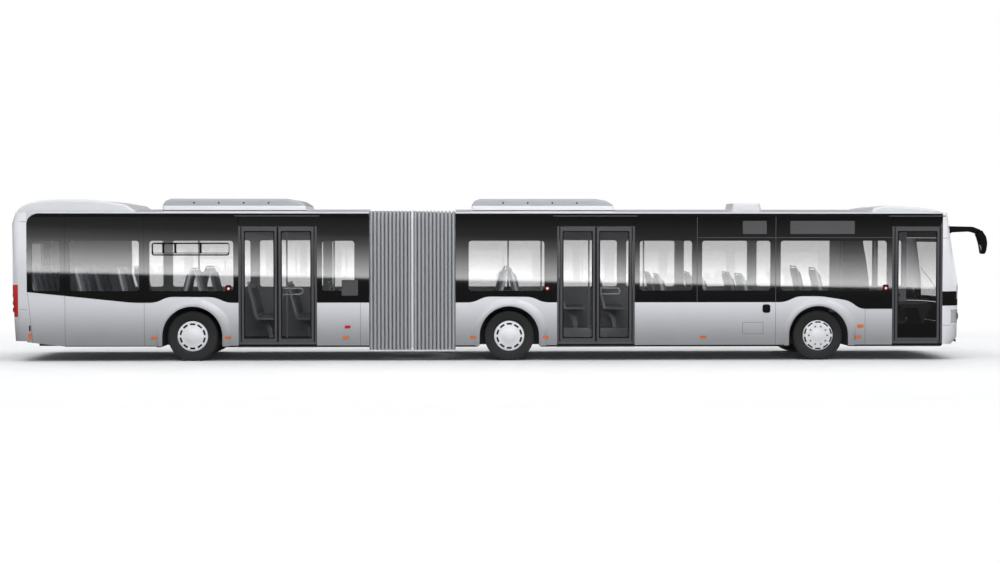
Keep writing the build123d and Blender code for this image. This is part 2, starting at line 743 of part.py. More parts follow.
def pod(x1, roof_fill):
    """A long flat air-conditioning cover with rounded ends."""
    points = [
        (x1, ROOF_EDGE_Z),
        (x1 + 10, COVER_TOP_Z - 130),
        (x1 + 60, COVER_TOP_Z - 45),
        (x1 + 170, COVER_TOP_Z),
        (x1 + POD_LENGTH - 390, COVER_TOP_Z),
        (x1 + POD_LENGTH - 190, COVER_TOP_Z - 35),
        (x1 + POD_LENGTH - 60, COVER_TOP_Z - 115),
        (x1 + POD_LENGTH, ROOF_EDGE_Z),
    ]
    return roof_cover(points, POD_HALF_W, roof_fill)


HATCH_X = FRONT_AXLE_X - 1540
HATCH_LENGTH = 610
COWL_X = CAB_X - 1315
cowl_points = [
    (COWL_X, ROOF_EDGE_Z),
    (COWL_X + 70, ROOF_CROWN_Z + 25),
    (COWL_X + 300, ROOF_CROWN_Z + 65),
    (COWL_X + 950, ROOF_CROWN_Z + 33),
    (COWL_X + 1260, ROOF_CROWN_Z - 20),
    (NOSE_X - NOSE_LEAN - 90, ROOF_EDGE_Z),
]
hatch_points = [
    (HATCH_X, ROOF_EDGE_Z),
    (HATCH_X + 40, ROOF_CROWN_Z + 118),
    (HATCH_X + HATCH_LENGTH - 40, ROOF_CROWN_Z + 118),
    (HATCH_X + HATCH_LENGTH, ROOF_EDGE_Z),
]
fairing_points = [
    (TAIL_X + TAIL_LEAN + 10, ROOF_EDGE_Z),
    (TAIL_X + 125, ROOF_CROWN_Z - 10),
    (TAIL_X + 190, ROOF_CROWN_Z + 45),
    (TAIL_X + 330, ROOF_CROWN_Z + 112),
    (TAIL_X + 570, ROOF_CROWN_Z + 157),
    (TAIL_X + 900, ROOF_CROWN_Z + 174),
    (TAIL_X + 1400, ROOF_CROWN_Z + 172),
    (TAIL_X + 1800, ROOF_CROWN_Z + 140),
    (TAIL_X + 2140, ROOF_CROWN_Z + 75),
    (TAIL_X + 2380, ROOF_EDGE_Z),
]
with BuildPart() as front_roof_covers:
    add(pod(MIDDLE_AXLE_X - FRONT_POD_BEHIND_MIDDLE_AXLE, front_roof_fill))
    add(roof_cover(hatch_points, 420, front_roof_fill))
    add(roof_cover(cowl_points, COWL_HALF_W, front_roof_fill))
with BuildPart() as rear_roof_covers:
    add(pod(REAR_AXLE_X - REAR_POD_BEHIND_REAR_AXLE, rear_roof_fill))
    add(roof_cover(fairing_points, FAIRING_HALF_W, rear_roof_fill))

# Floors with their wheelhouses
FLOOR_LOW_Z = FLOOR_Z - FLOOR_T
PLATFORM_X = REAR_AXLE_X - WHEELHOUSE_R - WHEELHOUSE_T - 20


def wheelhouse(axle_x, side):
    """An arched box over a wheel, open to the outside and below."""
    outer_r = WHEELHOUSE_R + WHEELHOUSE_T
    deep = INNER_Y - WHEELHOUSE_INNER_Y
    with BuildPart() as house:
        with BuildSketch(Plane.XZ.offset(-side * INNER_Y)):
            with Locations((axle_x, WHEEL_Z)):
                Circle(outer_r)
                Rectangle(2 * outer_r, outer_r, align=(Align.CENTER, Align.MAX))
            with Locations((axle_x, FLOOR_LOW_Z)):
                Rectangle(4 * outer_r, 2 * outer_r, align=(Align.CENTER, Align.MAX), mode=Mode.SUBTRACT)
        extrude(amount=side * (deep + WHEELHOUSE_T))
        with BuildSketch(Plane.XZ.offset(-side * INNER_Y)):
            with Locations((axle_x, WHEEL_Z)):
                Circle(WHEELHOUSE_R)
                Rectangle(2 * WHEELHOUSE_R, WHEELHOUSE_R, align=(Align.CENTER, Align.MAX))
        extrude(amount=side * deep, mode=Mode.SUBTRACT)
    return house.part


def wheel_notch(axle_x, side, grow):
    """What a wheelhouse leaves out of the floor; grow widens it past the wheelhouse's inside."""
    half = WHEELHOUSE_R + grow
    low = side * (WHEELHOUSE_INNER_Y - grow)
    high = side * (INNER_Y + 1)
    return block(axle_x - half, axle_x + half, min(low, high), max(low, high), FLOOR_LOW_Z - 1, FLOOR_Z + 1)


def door_sill(x1, x2):
    """The floor's edge in a doorway, with a thin lip that covers the gap under the leaf."""
    ends = (x1 + PANEL_GAP / 2, x2 - PANEL_GAP / 2)
    return joined(
        block(*ends, -SIDE_Y, -INNER_Y, FLOOR_LOW_Z, FLOOR_Z),
        block(ends[0] + JAMB_W, ends[1] - JAMB_W, -SIDE_Y, -SIDE_Y + SILL_LIP_T, FLOOR_Z, LEAF_LOW_Z),
    )


TOW_X = NOSE_X - 140
with BuildPart() as front_floor:
    add(block(FRONT_CAR_X, CAB_X, -INNER_Y, INNER_Y, FLOOR_LOW_Z, FLOOR_Z))
    add(block(CAB_X, CAB_X + 80, -850, 850, FLOOR_LOW_Z, FLOOR_Z))
    add(door_sill(DOOR_2_REAR_X, DOOR_2_FRONT_X))
    add(door_sill(DOOR_1_REAR_X, CAB_X - JAMB_W))
    for axle_x in (MIDDLE_AXLE_X, FRONT_AXLE_X):
        for side in (LEFT, RIGHT):
            add(wheel_notch(axle_x, side, WHEELHOUSE_T + PIN_CLEAR), mode=Mode.SUBTRACT)
with BuildPart() as front_wheelhouses:
    for axle_x in (MIDDLE_AXLE_X, FRONT_AXLE_X):
        for side in (LEFT, RIGHT):
            add(wheelhouse(axle_x, side))
with BuildPart() as tow_socket:
    add(block(CAB_X, CAB_X + 80, TOW_Y - 60, TOW_Y + 60, FLOOR_Z, TOW_Z + 50))
    with BuildSketch(Plane.YZ.offset(CAB_X)):
        with Locations((TOW_Y, TOW_Z)):
            Circle(TOW_BORE_R + 17)
    extrude(amount=TOW_X - CAB_X)
    with BuildSketch(Plane.YZ.offset(TOW_X)):
        with Locations((TOW_Y, TOW_Z)):
            Circle(TOW_BORE_R)
    extrude(amount=-110, mode=Mode.SUBTRACT)
with BuildPart() as rear_floor:
    add(block(PLATFORM_X, REAR_CAR_X, -INNER_Y, INNER_Y, FLOOR_LOW_Z, FLOOR_Z))
    add(block(PLATFORM_X - 40, PLATFORM_X, -INNER_Y, INNER_Y, FLOOR_LOW_Z, REAR_FLOOR_Z))
    add(block(TAIL_WALL_X, PLATFORM_X, -INNER_Y, INNER_Y, REAR_FLOOR_Z - FLOOR_T, REAR_FLOOR_Z))
    add(door_sill(DOOR_3_REAR_X, DOOR_3_FRONT_X))
    for side in (LEFT, RIGHT):
        add(wheel_notch(REAR_AXLE_X, side, 0), mode=Mode.SUBTRACT)
        add(wheelhouse(REAR_AXLE_X, side))
with BuildPart() as engine:
    add(block(TAIL_WALL_X + 60, PLATFORM_X - 700, -620, 620, 250, REAR_FLOOR_Z - FLOOR_T))

# Turntable: a floor disc on the front car, a race on the rear car and a hoop that turns half as far
DISC_T = 35
HOOP_BAR_T = 25
DISC_LOW_Z = FLOOR_Z - DISC_T
BAR_TOP_Z = DISC_LOW_Z - MOVE_CLEAR
BAR_LOW_Z = BAR_TOP_Z - HOOP_BAR_T
RACE_TOP_Z = BAR_LOW_Z - MOVE_CLEAR
RACE_LOW_Z = RACE_TOP_Z - DISC_T
NECK_HALF_W = 450
with BuildPart() as turntable_front:
    add(upright_rod(PIVOT_X, 0, TURNTABLE_R, DISC_LOW_Z, FLOOR_Z))
    add(block(PIVOT_X + RACE_R, FRONT_CAR_X, -NECK_HALF_W, NECK_HALF_W, DISC_LOW_Z, FLOOR_Z))
    add(upright_rod(PIVOT_X, 0, PIVOT_R + PIN_CLEAR, DISC_LOW_Z - 1, FLOOR_Z - 10), mode=Mode.SUBTRACT)
with BuildPart() as turntable_rear:
    add(upright_rod(PIVOT_X, 0, RACE_R, RACE_LOW_Z, RACE_TOP_Z))
    add(block(REAR_CAR_X, PIVOT_X - RACE_R / 2, -NECK_HALF_W, NECK_HALF_W, RACE_LOW_Z, RACE_TOP_Z))
    add(block(REAR_CAR_X, REAR_CAR_X + 20, -NECK_HALF_W, NECK_HALF_W, RACE_LOW_Z, FLOOR_Z))
    add(upright_rod(PIVOT_X, 0, PIVOT_R, RACE_LOW_Z, FLOOR_Z - 12))
HOOP_W = 70
with BuildPart() as bellows_frame:
    bar = BELLOWS_OUT_Y - FOLD_DEPTH - MOVE_CLEAR
    add(block(PIVOT_X - HOOP_T, PIVOT_X + HOOP_T, -bar, bar, BAR_LOW_Z, BAR_TOP_Z))
    with BuildSketch(Plane.YZ.offset(PIVOT_X - HOOP_T / 2)):
        with Locations((0, BAR_LOW_Z)):
            Rectangle(2 * BELLOWS_OUT_Y, BELLOWS_TOP_Z - BAR_LOW_Z, align=(Align.CENTER, Align.MIN))
        with Locations((0, BAR_TOP_Z)):
            Rectangle(
                2 * (BELLOWS_OUT_Y - HOOP_W), BELLOWS_TOP_Z - HOOP_W - BAR_TOP_Z,
                align=(Align.CENTER, Align.MIN), mode=Mode.SUBTRACT,
            )
    extrude(amount=HOOP_T)
    along = bellows_frame.edges().filter_by(Axis.X)
    tops = along.filter_by_position(Axis.Z, BELLOWS_TOP_Z - 1, BELLOWS_TOP_Z + 1)
    fillet(tops, BELLOWS_CORNER_R - 20)
    add(upright_rod(PIVOT_X, 0, PIVOT_R + PIN_CLEAR, BAR_LOW_Z - 1, BAR_TOP_Z + 1), mode=Mode.SUBTRACT)


def bellows_half(x1, x2):
    """Folded sheet over the gangway, open below, swept up one side, over and down the other."""
    pitch = (x2 - x1) / FOLDS
    ridge = [(x1, -BELLOWS_OUT_Y + 15)]
    for fold in range(FOLDS):
        ridge += [(x1 + (fold + 0.5) * pitch, -BELLOWS_OUT_Y)]
        if fold < FOLDS - 1:
            ridge += [(x1 + (fold + 1) * pitch, -BELLOWS_OUT_Y + FOLD_DEPTH - SHEET_T)]
    ridge += [(x2, -BELLOWS_OUT_Y + 15)]
    under = [(x, y + SHEET_T) for x, y in reversed(ridge)]
    with BuildPart() as sheet:
        with BuildLine():
            FilletPolyline(
                (x1, -BELLOWS_OUT_Y, BELLOWS_LOW_Z),
                (x1, -BELLOWS_OUT_Y, BELLOWS_TOP_Z),
                (x1, BELLOWS_OUT_Y, BELLOWS_TOP_Z),
                (x1, BELLOWS_OUT_Y, BELLOWS_LOW_Z),
                radius=BELLOWS_CORNER_R,
            )
        with BuildSketch(Plane.XY.offset(BELLOWS_LOW_Z)):
            with BuildLine():
                Polyline(*ridge, *under, close=True)
            make_face()
        sweep()
    return sheet.part


with BuildPart() as bellows_front:
    add(bellows_half(PIVOT_X + HOOP_T / 2, FRONT_CAR_X))
with BuildPart() as bellows_rear:
    add(bellows_half(REAR_CAR_X, PIVOT_X - HOOP_T / 2))

# Axles: dropped in the middle to pass under the floor
AXLE_LOW_Z = 165
AXLE_R = 48
RISER_Y = 545
RISER_W = 75
HANGER_Y = 300


def axle_middle(axle_x):
    """The dropped beam, its risers and the hangers that carry the floor."""
    with BuildPart() as beam:
        add(cross_rod(axle_x, AXLE_LOW_Z, AXLE_R, -RISER_Y, RISER_Y))
        for side in (LEFT, RIGHT):
            ends = sorted((side * RISER_Y, side * (RISER_Y + RISER_W)))
            add(block(axle_x - 65, axle_x + 65, *ends, AXLE_LOW_Z - AXLE_R, WHEEL_Z + 70))
            ends = sorted((side * HANGER_Y, side * (HANGER_Y + 80)))
            add(block(axle_x - 60, axle_x + 60, *ends, AXLE_LOW_Z, FLOOR_LOW_Z))
    return beam.part


def twin_axle(axle_x):
    """An axle with stubs for twin wheels."""
    with BuildPart() as axle:
        add(axle_middle(axle_x))
        for side in (LEFT, RIGHT):
            ends = sorted((side * (RISER_Y + RISER_W), side * (TWIN_OUTER_Y + 75)))
            add(cross_rod(axle_x, WHEEL_Z, BORE_R - PIN_CLEAR, *ends))
    return axle.part


KING_HALF_H = 40
with BuildPart() as front_axle:
    add(axle_middle(FRONT_AXLE_X))
    for side in (LEFT, RIGHT):
        ends = sorted((side * (RISER_Y + RISER_W), side * KINGPIN_Y))
        boss = (WHEEL_Z - KING_HALF_H, WHEEL_Z + KING_HALF_H)
        bore_r = KINGPIN_R + PIN_CLEAR
        add(block(FRONT_AXLE_X - 40, FRONT_AXLE_X + 40, *ends, *boss))
        add(upright_rod(FRONT_AXLE_X, side * KINGPIN_Y, 48, *boss))
        add(upright_rod(FRONT_AXLE_X, side * KINGPIN_Y, bore_r, *boss), mode=Mode.SUBTRACT)
with BuildPart() as middle_axle:
    add(twin_axle(MIDDLE_AXLE_X))
with BuildPart() as rear_axle:
    add(twin_axle(REAR_AXLE_X))


def knuckle(side):
    """Steering knuckle: kingpin, two ears, a yoke plate and the wheel's stub."""
    ear = KING_HALF_H + MOVE_CLEAR
    with BuildPart() as piece:
        add(upright_rod(FRONT_AXLE_X, side * KINGPIN_Y, KINGPIN_R, WHEEL_Z - 95, WHEEL_Z + 95))
        ends = sorted((side * (KINGPIN_Y - 42), side * (KINGPIN_Y + 78)))
        for low in (WHEEL_Z + ear, WHEEL_Z - 95):
            add(block(FRONT_AXLE_X - 45, FRONT_AXLE_X + 45, *ends, low, low + 95 - ear))
        ends = sorted((side * (KINGPIN_Y + 58), side * (KINGPIN_Y + 78)))
        add(block(FRONT_AXLE_X - 45, FRONT_AXLE_X + 45, *ends, WHEEL_Z - 95, WHEEL_Z + 95))
        ends = sorted((side * (KINGPIN_Y + 70), side * (SINGLE_Y + 78)))
        add(cross_rod(FRONT_AXLE_X, WHEEL_Z, BORE_R - PIN_CLEAR, *ends))
    return piece.part


# Wheels
RIM_HALF_W = 115
DISC_Y = 85
DISC_PLATE_T = 14
HUB_R = 110


def ring(axle_x, outer_r, inner_r, y1, y2):
    """A plain ring on a wheel's axis."""
    with BuildPart() as piece:
        with BuildSketch(Plane.XZ.offset(-min(y1, y2))):
            with Locations((axle_x, WHEEL_Z)):
                Circle(outer_r)
                if inner_r:
                    Circle(inner_r, mode=Mode.SUBTRACT)
        extrude(amount=-abs(y2 - y1))
    return piece.part


def tyre(axle_x, y):
    """One tyre: tread with bevelled shoulders, two walls and the seat on the rim."""
    with BuildPart() as piece:
        add(ring(axle_x, TYRE_R, RIM_R + PIN_CLEAR, y - TYRE_W / 2, y + TYRE_W / 2))
        chamfer([e for e in piece.edges().filter_by(GeomType.CIRCLE) if e.radius > TYRE_R - 1], SHOULDER)
    return piece.part


def rim(axle_x, side, inner_y, outer_y):
    """A rim cup with its disc near the outer side, and the hub that runs on the stub."""
    disc = outer_y + DISC_Y
    ends = (side * (inner_y - RIM_HALF_W), side * (outer_y + RIM_HALF_W))
    with BuildPart() as cup:
        add(ring(axle_x, RIM_R, RIM_R - RIM_T, *ends))
        add(ring(axle_x, RIM_R - RIM_T / 2, 0, side * disc, side * (disc + DISC_PLATE_T)))
        add(ring(axle_x, HUB_R, BORE_R, side * (disc - 60), side * disc))
        add(ring(axle_x, HUB_R - 10, 0, side * disc, side * (disc + 34)))
        with BuildSketch(Plane.XZ.offset(-side * disc)):
            with Locations((axle_x, WHEEL_Z)):
                with PolarLocations(SLOT_RING_R, SLOT_COUNT):
                    SlotOverall(SLOT_LENGTH, SLOT_W, rotation=90)
        extrude(amount=-side * DISC_PLATE_T, mode=Mode.SUBTRACT)
    return cup.part


def twin_tyres(axle_x, side):
    """Two tyres side by side."""
    return joined(tyre(axle_x, side * TWIN_OUTER_Y), tyre(axle_x, side * (TWIN_OUTER_Y - TWIN_SPACING)))


def twin_rim(axle_x, side):
    """The rim that carries twin tyres."""
    return rim(axle_x, side, TWIN_OUTER_Y - TWIN_SPACING, TWIN_OUTER_Y)


# Inward-gliding doors: a column with two arms, a leaf pivoted on the arms at its middle
LEAF_OUT_Y = SIDE_Y - LEAF_INSET
LEAF_IN_Y = LEAF_OUT_Y - LEAF_T
ARM_Y = -(LEAF_IN_Y - ARM_OFFSET)
ARM_LOW_Z = LEAF_LOW_Z - MOVE_CLEAR - ARM_H / 2
ARM_HIGH_Z = LEAF_TOP_Z + MOVE_CLEAR + ARM_H / 2
TOP_RAIL_H = 90
LOW_RAIL_H = 80
RAIL_LUG_W = 50


def leaf_span(door_w, leaves):
    """Width of one leaf of a doorway."""
    return (door_w - 2 * JAMB_W - (leaves + 1) * LEAF_GAP) / leaves


def leaf_edge(door_x, door_w, hand):
    """Edge of a leaf beside its own column; hand is 1 at the rear jamb, -1 at the front jamb."""
    return door_x - hand * (door_w / 2 - JAMB_W - LEAF_GAP)


def door_leaf(edge_x, span, hand):
    """Leaf frame with the two lugs and pins that ride on the arms."""
    middle_x = edge_x + hand * span / 2
    high = LEAF_TOP_Z - LEAF_LOW_Z
    with BuildPart() as leaf:
        with BuildSketch(Plane.XZ.offset(LEAF_OUT_Y)):
            with Locations((middle_x, LEAF_LOW_Z + high / 2)):
                Rectangle(span, high)
            with Locations((middle_x, LEAF_LOW_Z + LOW_RAIL_H)):
                Rectangle(
                    span - 2 * STILE_W, high - LOW_RAIL_H - TOP_RAIL_H,
                    align=(Align.CENTER, Align.MIN), mode=Mode.SUBTRACT,
                )
        extrude(amount=-LEAF_T)
        lug_ends = (middle_x - RAIL_LUG_W / 2, middle_x + RAIL_LUG_W / 2)
        for lug_z in (LEAF_LOW_Z, LEAF_TOP_Z - LUG_H):
            add(block(*lug_ends, -LEAF_IN_Y, ARM_Y + ARM_PIN_R + 4, lug_z, lug_z + LUG_H))
        add(upright_rod(middle_x, ARM_Y, ARM_PIN_R, ARM_LOW_Z - ARM_H / 2, LEAF_LOW_Z + LUG_H))
        add(upright_rod(middle_x, ARM_Y, ARM_PIN_R, LEAF_TOP_Z - LUG_H, ARM_HIGH_Z + ARM_H / 2))
    return leaf.part


def door_pane(edge_x, span, hand):
    """Glass that fills the leaf."""
    with BuildPart() as sheet:
        with BuildSketch(Plane.XZ.offset(LEAF_OUT_Y)):
            with Locations((edge_x + hand * span / 2, LEAF_LOW_Z + LOW_RAIL_H + PIN_CLEAR)):
                Rectangle(
                    span - 2 * STILE_W - 2 * PIN_CLEAR,
                    LEAF_TOP_Z - LEAF_LOW_Z - LOW_RAIL_H - TOP_RAIL_H - 2 * PIN_CLEAR,
                    align=(Align.CENTER, Align.MIN),
                )
        extrude(amount=-GLASS_T)
    return sheet.part


def door_arms(edge_x, span, hand):
    """Upright column that turns beside the jamb; its arms pass under and over the leaf."""
    column_x = edge_x - hand * COLUMN_SET
    pin_x = edge_x + hand * span / 2
    with BuildPart() as gear:
        add(upright_rod(column_x, ARM_Y, COLUMN_R, FLOOR_Z + PIN_CLEAR, ARM_HIGH_Z + ARM_H))
        for arm_z in (ARM_LOW_Z, ARM_HIGH_Z):
            ends = sorted((column_x, pin_x))
            add(block(*ends, ARM_Y - 13, ARM_Y + 13, arm_z - ARM_H / 2, arm_z + ARM_H / 2))
            add(upright_rod(pin_x, ARM_Y, 22, arm_z - ARM_H / 2, arm_z + ARM_H / 2))
            add(
                upright_rod(pin_x, ARM_Y, ARM_PIN_R + PIN_CLEAR, arm_z - ARM_H, arm_z + ARM_H),
                mode=Mode.SUBTRACT,
            )
    return gear.part


# Doors: name, doorway middle, doorway width, leaves in the doorway, jamb the leaf hangs at
DOORS = [
    ("door_1", DOOR_1_X, SINGLE_DOOR_W, 1, -1),
    ("door_2_rear", DOOR_2_X, DOUBLE_DOOR_W, 2, 1),
    ("door_2_front", DOOR_2_X, DOUBLE_DOOR_W, 2, -1),
    ("door_3_rear", DOOR_3_X, DOUBLE_DOOR_W, 2, 1),
    ("door_3_front", DOOR_3_X, DOUBLE_DOOR_W, 2, -1),
]

# Seats and handrails
SEAT_Y = INNER_Y - 8
SEAT_LEG_H = 380
POLE_R = 17


def seat(x, side, wide, base, leg, facing):
    """A seat drawn in side view, on a pedestal; facing is 1 forwards, -1 backwards."""
    low = base + leg
    profile = [(230, 0), (230, 75), (-150, 62), (-235, 690), (-300, 690), (-230, 0)]
    points = [(x + facing * dx, low + dz) for dx, dz in profile]
    y1, y2 = sorted((side * SEAT_Y, side * (SEAT_Y - wide)))
    middle_y = (y1 + y2) / 2
    with BuildPart() as piece:
        add(side_plate(points, y1, y2))
        add(block(x - 90, x + 90, middle_y - 40, middle_y + 40, base, low + 20))
    return piece.part


DOUBLE_SEAT = 880
HOUSE_SEAT_Z = HOUSE_TOP_Z - 100
NARROW_SEAT = 640
# Seat rows: place, side, width, floor below, pedestal height, facing
FRONT_SEATS = [
    (DOOR_2_REAR_X + 420, LEFT, DOUBLE_SEAT, FLOOR_Z, SEAT_LEG_H, 1),
    (DOOR_2_REAR_X + 1220, LEFT, DOUBLE_SEAT, FLOOR_Z, SEAT_LEG_H, 1),
    (FRONT_AXLE_X - 2700, LEFT, DOUBLE_SEAT, FLOOR_Z, SEAT_LEG_H, 1),
    (FRONT_AXLE_X - 1900, LEFT, DOUBLE_SEAT, FLOOR_Z, SEAT_LEG_H, 1),
    (FRONT_AXLE_X - 1100, LEFT, DOUBLE_SEAT, FLOOR_Z, SEAT_LEG_H, 1),
    (FRONT_AXLE_X - 60, LEFT, NARROW_SEAT, HOUSE_SEAT_Z, 170, -1),
    (MIDDLE_AXLE_X + 180, LEFT, NARROW_SEAT, HOUSE_SEAT_Z, 170, 1),
    (MIDDLE_AXLE_X - 60, RIGHT, NARROW_SEAT, HOUSE_SEAT_Z, 170, 1),
    (FRONT_AXLE_X - 2700, RIGHT, DOUBLE_SEAT, FLOOR_Z, SEAT_LEG_H, 1),
    (FRONT_AXLE_X - 1900, RIGHT, DOUBLE_SEAT, FLOOR_Z, SEAT_LEG_H, 1),
    (FRONT_AXLE_X - 1100, RIGHT, DOUBLE_SEAT, FLOOR_Z, SEAT_LEG_H, 1),
    (FRONT_AXLE_X + 60, RIGHT, NARROW_SEAT, HOUSE_SEAT_Z, 170, 1),
]
REAR_SEATS = [
    (REAR_CAR_X - 560, LEFT, DOUBLE_SEAT, FLOOR_Z, SEAT_LEG_H, 1),
    (REAR_CAR_X - 1360, LEFT, DOUBLE_SEAT, FLOOR_Z, SEAT_LEG_H, 1),
    (REAR_CAR_X - 2160, LEFT, DOUBLE_SEAT, FLOOR_Z, SEAT_LEG_H, 1),
    (REAR_AXLE_X + 40, LEFT, NARROW_SEAT, HOUSE_SEAT_Z, 170, 1),
    (REAR_AXLE_X + 40, RIGHT, NARROW_SEAT, HOUSE_SEAT_Z, 170, 1),
    (PLATFORM_X - 420, LEFT, DOUBLE_SEAT, REAR_FLOOR_Z, SEAT_LEG_H, 1),
    (PLATFORM_X - 420, RIGHT, DOUBLE_SEAT, REAR_FLOOR_Z, SEAT_LEG_H, 1),
    (PLATFORM_X - 1220, LEFT, DOUBLE_SEAT, REAR_FLOOR_Z, SEAT_LEG_H, 1),
    (PLATFORM_X - 1220, RIGHT, DOUBLE_SEAT, REAR_FLOOR_Z, SEAT_LEG_H, 1),
    (TAIL_WALL_X + 340, LEFT, 2 * SEAT_Y, REAR_FLOOR_Z, SEAT_LEG_H, 1),
]
# Handrail poles: place and side
FRONT_POLES = [
    (DOOR_2_REAR_X - 260, -430),
    (DOOR_2_FRONT_X + 260, -430),
    (DOOR_2_X, 420),
    (FRONT_AXLE_X + 900, -430),
]
REAR_POLES = [
    (DOOR_3_FRONT_X + 260, -430),
    (DOOR_3_X, 340),
]


def pole(x, y):
    """A handrail pole from the floor to just under the roof."""
    return upright_rod(x, y, POLE_R, FLOOR_Z, GLASS_TOP_Z)


with BuildPart() as front_seats:
    for x, side, wide, base, leg, facing in FRONT_SEATS:
        add(seat(x, side, wide, base, leg, facing))
    for axle_x in (MIDDLE_AXLE_X, FRONT_AXLE_X):
        add(cross_rod(axle_x, WHEEL_Z, WHEELHOUSE_R + WHEELHOUSE_T, -INNER_Y, INNER_Y), mode=Mode.SUBTRACT)
    for x, y in FRONT_POLES:
        add(pole(x, y))
with BuildPart() as rear_seats:
    for x, side, wide, base, leg, facing in REAR_SEATS:
        add(seat(x, side, wide, base, leg, facing))
    add(cross_rod(REAR_AXLE_X, WHEEL_Z, WHEELHOUSE_R + WHEELHOUSE_T, -INNER_Y, INNER_Y), mode=Mode.SUBTRACT)
    for x, y in REAR_POLES:
        add(pole(x, y))

# Driver's place: bulkhead, low door, desk with the steering wheel, seat
BULKHEAD_X = FRONT_AXLE_X + 780
DESK_X = CAB_X - 420
DESK_Y = 120
SEAT_MIDDLE_Y = 720
STEER_R = 235
with BuildPart() as desk:
    add(side_plate(
        [(DESK_X, 930), (DESK_X, 1000), (CAB_X + 190, 1030), (CAB_X + 190, 930), (CAB_X + 60, 700),
         (CAB_X + 60, FLOOR_Z), (CAB_X, FLOOR_Z), (CAB_X, 700), (CAB_X - 80, 930)],
        DESK_Y, INNER_Y - 90,
    ))
    add(block(CAB_X - 1, CAB_X + 81, TOW_Y - 70, TOW_Y + 70, FLOOR_Z - 1, TOW_Z + 60), mode=Mode.SUBTRACT)
    with Locations(Location((DESK_X - 60, SEAT_MIDDLE_Y, 1090), (0, -24, 0))):
        Cylinder(STEER_R, 26)
        Cylinder(STEER_R - 28, 40, mode=Mode.SUBTRACT)
        Box(2 * STEER_R - 20, 40, 16)
        Cylinder(30, 300, align=(Align.CENTER, Align.CENTER, Align.MAX), rotation=(0, -24, 0))
with BuildPart() as bulkhead:
    add(block(BULKHEAD_X, BULKHEAD_X + 40, 300, INNER_Y, FLOOR_Z, 2300))
    add(block(BULKHEAD_X, DESK_X - 120, 300, 330, FLOOR_Z, 1250))
with BuildPart() as driver_cab:
    add(desk.part)
    add(bulkhead.part)
    add(seat(BULKHEAD_X + 420, LEFT, 2 * (SEAT_Y - SEAT_MIDDLE_Y) - 420, FLOOR_Z, 520, 1))

# Mirrors on swan-neck arms, fitted to the header
MIRROR_OUT_Y = WIDTH / 2
MIRROR_W = 210
MIRROR_TIP_X = NOSE_X + MIRROR_REACH


def mirror(side):
    """One mirror: a flat arm that curves down to its head."""
    arm = [
        (CAB_X + 20, 2400), (CAB_X + 20, 2560), (MIRROR_TIP_X - 250, 2560),
        (MIRROR_TIP_X - 110, 2525), (MIRROR_TIP_X - 55, 2440), (MIRROR_TIP_X - 110, 2440),
        (MIRROR_TIP_X - 190, 2470), (CAB_X + 200, 2475), (CAB_X + 130, 2400),
    ]
    y1, y2 = sorted((side * (MIRROR_OUT_Y - 70), side * (MIRROR_OUT_Y - 130)))
    h1, h2 = sorted((side * MIRROR_OUT_Y, side * (MIRROR_OUT_Y - MIRROR_W)))
    with BuildPart() as piece:
        add(block(MIRROR_TIP_X - 165, MIRROR_TIP_X, h1, h2, 2016, 2450))
        fillet(piece.edges().filter_by(Axis.Z), 45)
        add(side_plate(arm, y1, y2))
        add(nose_solid, mode=Mode.SUBTRACT)
    return piece.part


with BuildPart() as mirrors:
    add(mirror(LEFT))
    add(mirror(RIGHT))

# One file for each node
NODES = {
    "front_walls": front_walls.part,
    "front_roof": front_roof.part,
    "front_floor": front_floor.part,
    "front_wheelhouses": front_wheelhouses.part,
    "tow_socket": tow_socket.part,
    "front_panels": front_panels.part,
    "front_glass": front_glass.part,
    "windscreen": windscreen.part,
    "headlamps": headlamps.part,
    "front_roof_covers": front_roof_covers.part,
    "front_seats": front_seats.part,
    "driver_cab": driver_cab.part,
    "mirrors": mirrors.part,
    "front_axle": front_axle.part,
    "middle_axle": middle_axle.part,
    "turntable_front": turntable_front.part,
    "bellows_front": bellows_front.part,
    "bellows_frame": bellows_frame.part,
    "bellows_rear": bellows_rear.part,
    "turntable_rear": turntable_rear.part,
    "rear_walls": rear_walls.part,
    "rear_roof": rear_roof.part,
    "rear_floor": rear_floor.part,
    "tail_panel": tail_panel.part,
    "engine_flap": engine_flap.part,
    "rear_glass": rear_glass.part,
    "tail_lamps": tail_lamps.part,
    "rear_roof_covers": rear_roof_covers.part,
    "rear_seats": rear_seats.part,
    "engine": engine.part,
    "rear_axle": rear_axle.part,
}
for side, place in ((LEFT, "left"), (RIGHT, "right")):
    NODES[f"knuckle_{place}"] = knuckle(side)
    NODES[f"front_tyre_{place}"] = tyre(FRONT_AXLE_X, side * SINGLE_Y)
    NODES[f"front_rim_{place}"] = rim(FRONT_AXLE_X, side, SINGLE_Y, SINGLE_Y)
    NODES[f"middle_tyres_{place}"] = twin_tyres(MIDDLE_AXLE_X, side)
    NODES[f"middle_rim_{place}"] = twin_rim(MIDDLE_AXLE_X, side)
    NODES[f"rear_tyres_{place}"] = twin_tyres(REAR_AXLE_X, side)
    NODES[f"rear_rim_{place}"] = twin_rim(REAR_AXLE_X, side)
for name, door_x, door_w, leaves, hand in DOORS:
    edge_x = leaf_edge(door_x, door_w, hand)
    span = leaf_span(door_w, leaves)
    NODES[f"{name}_arms"] = door_arms(edge_x, span, hand)
    NODES[f"{name}_leaf"] = door_leaf(edge_x, span, hand)
    NODES[f"{name}_glass"] = door_pane(edge_x, span, hand)

os.makedirs("parts", exist_ok=True)
for name, piece in NODES.items():
    piece.label = name
    export_step(piece, f"parts/{name}.step")
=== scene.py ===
import logging
import math
from dataclasses import dataclass, field
from enum import Enum
from typing import Callable, Sequence

import bmesh
import bpy
from mathutils import Matrix, Vector
from mathutils.geometry import tessellate_polygon


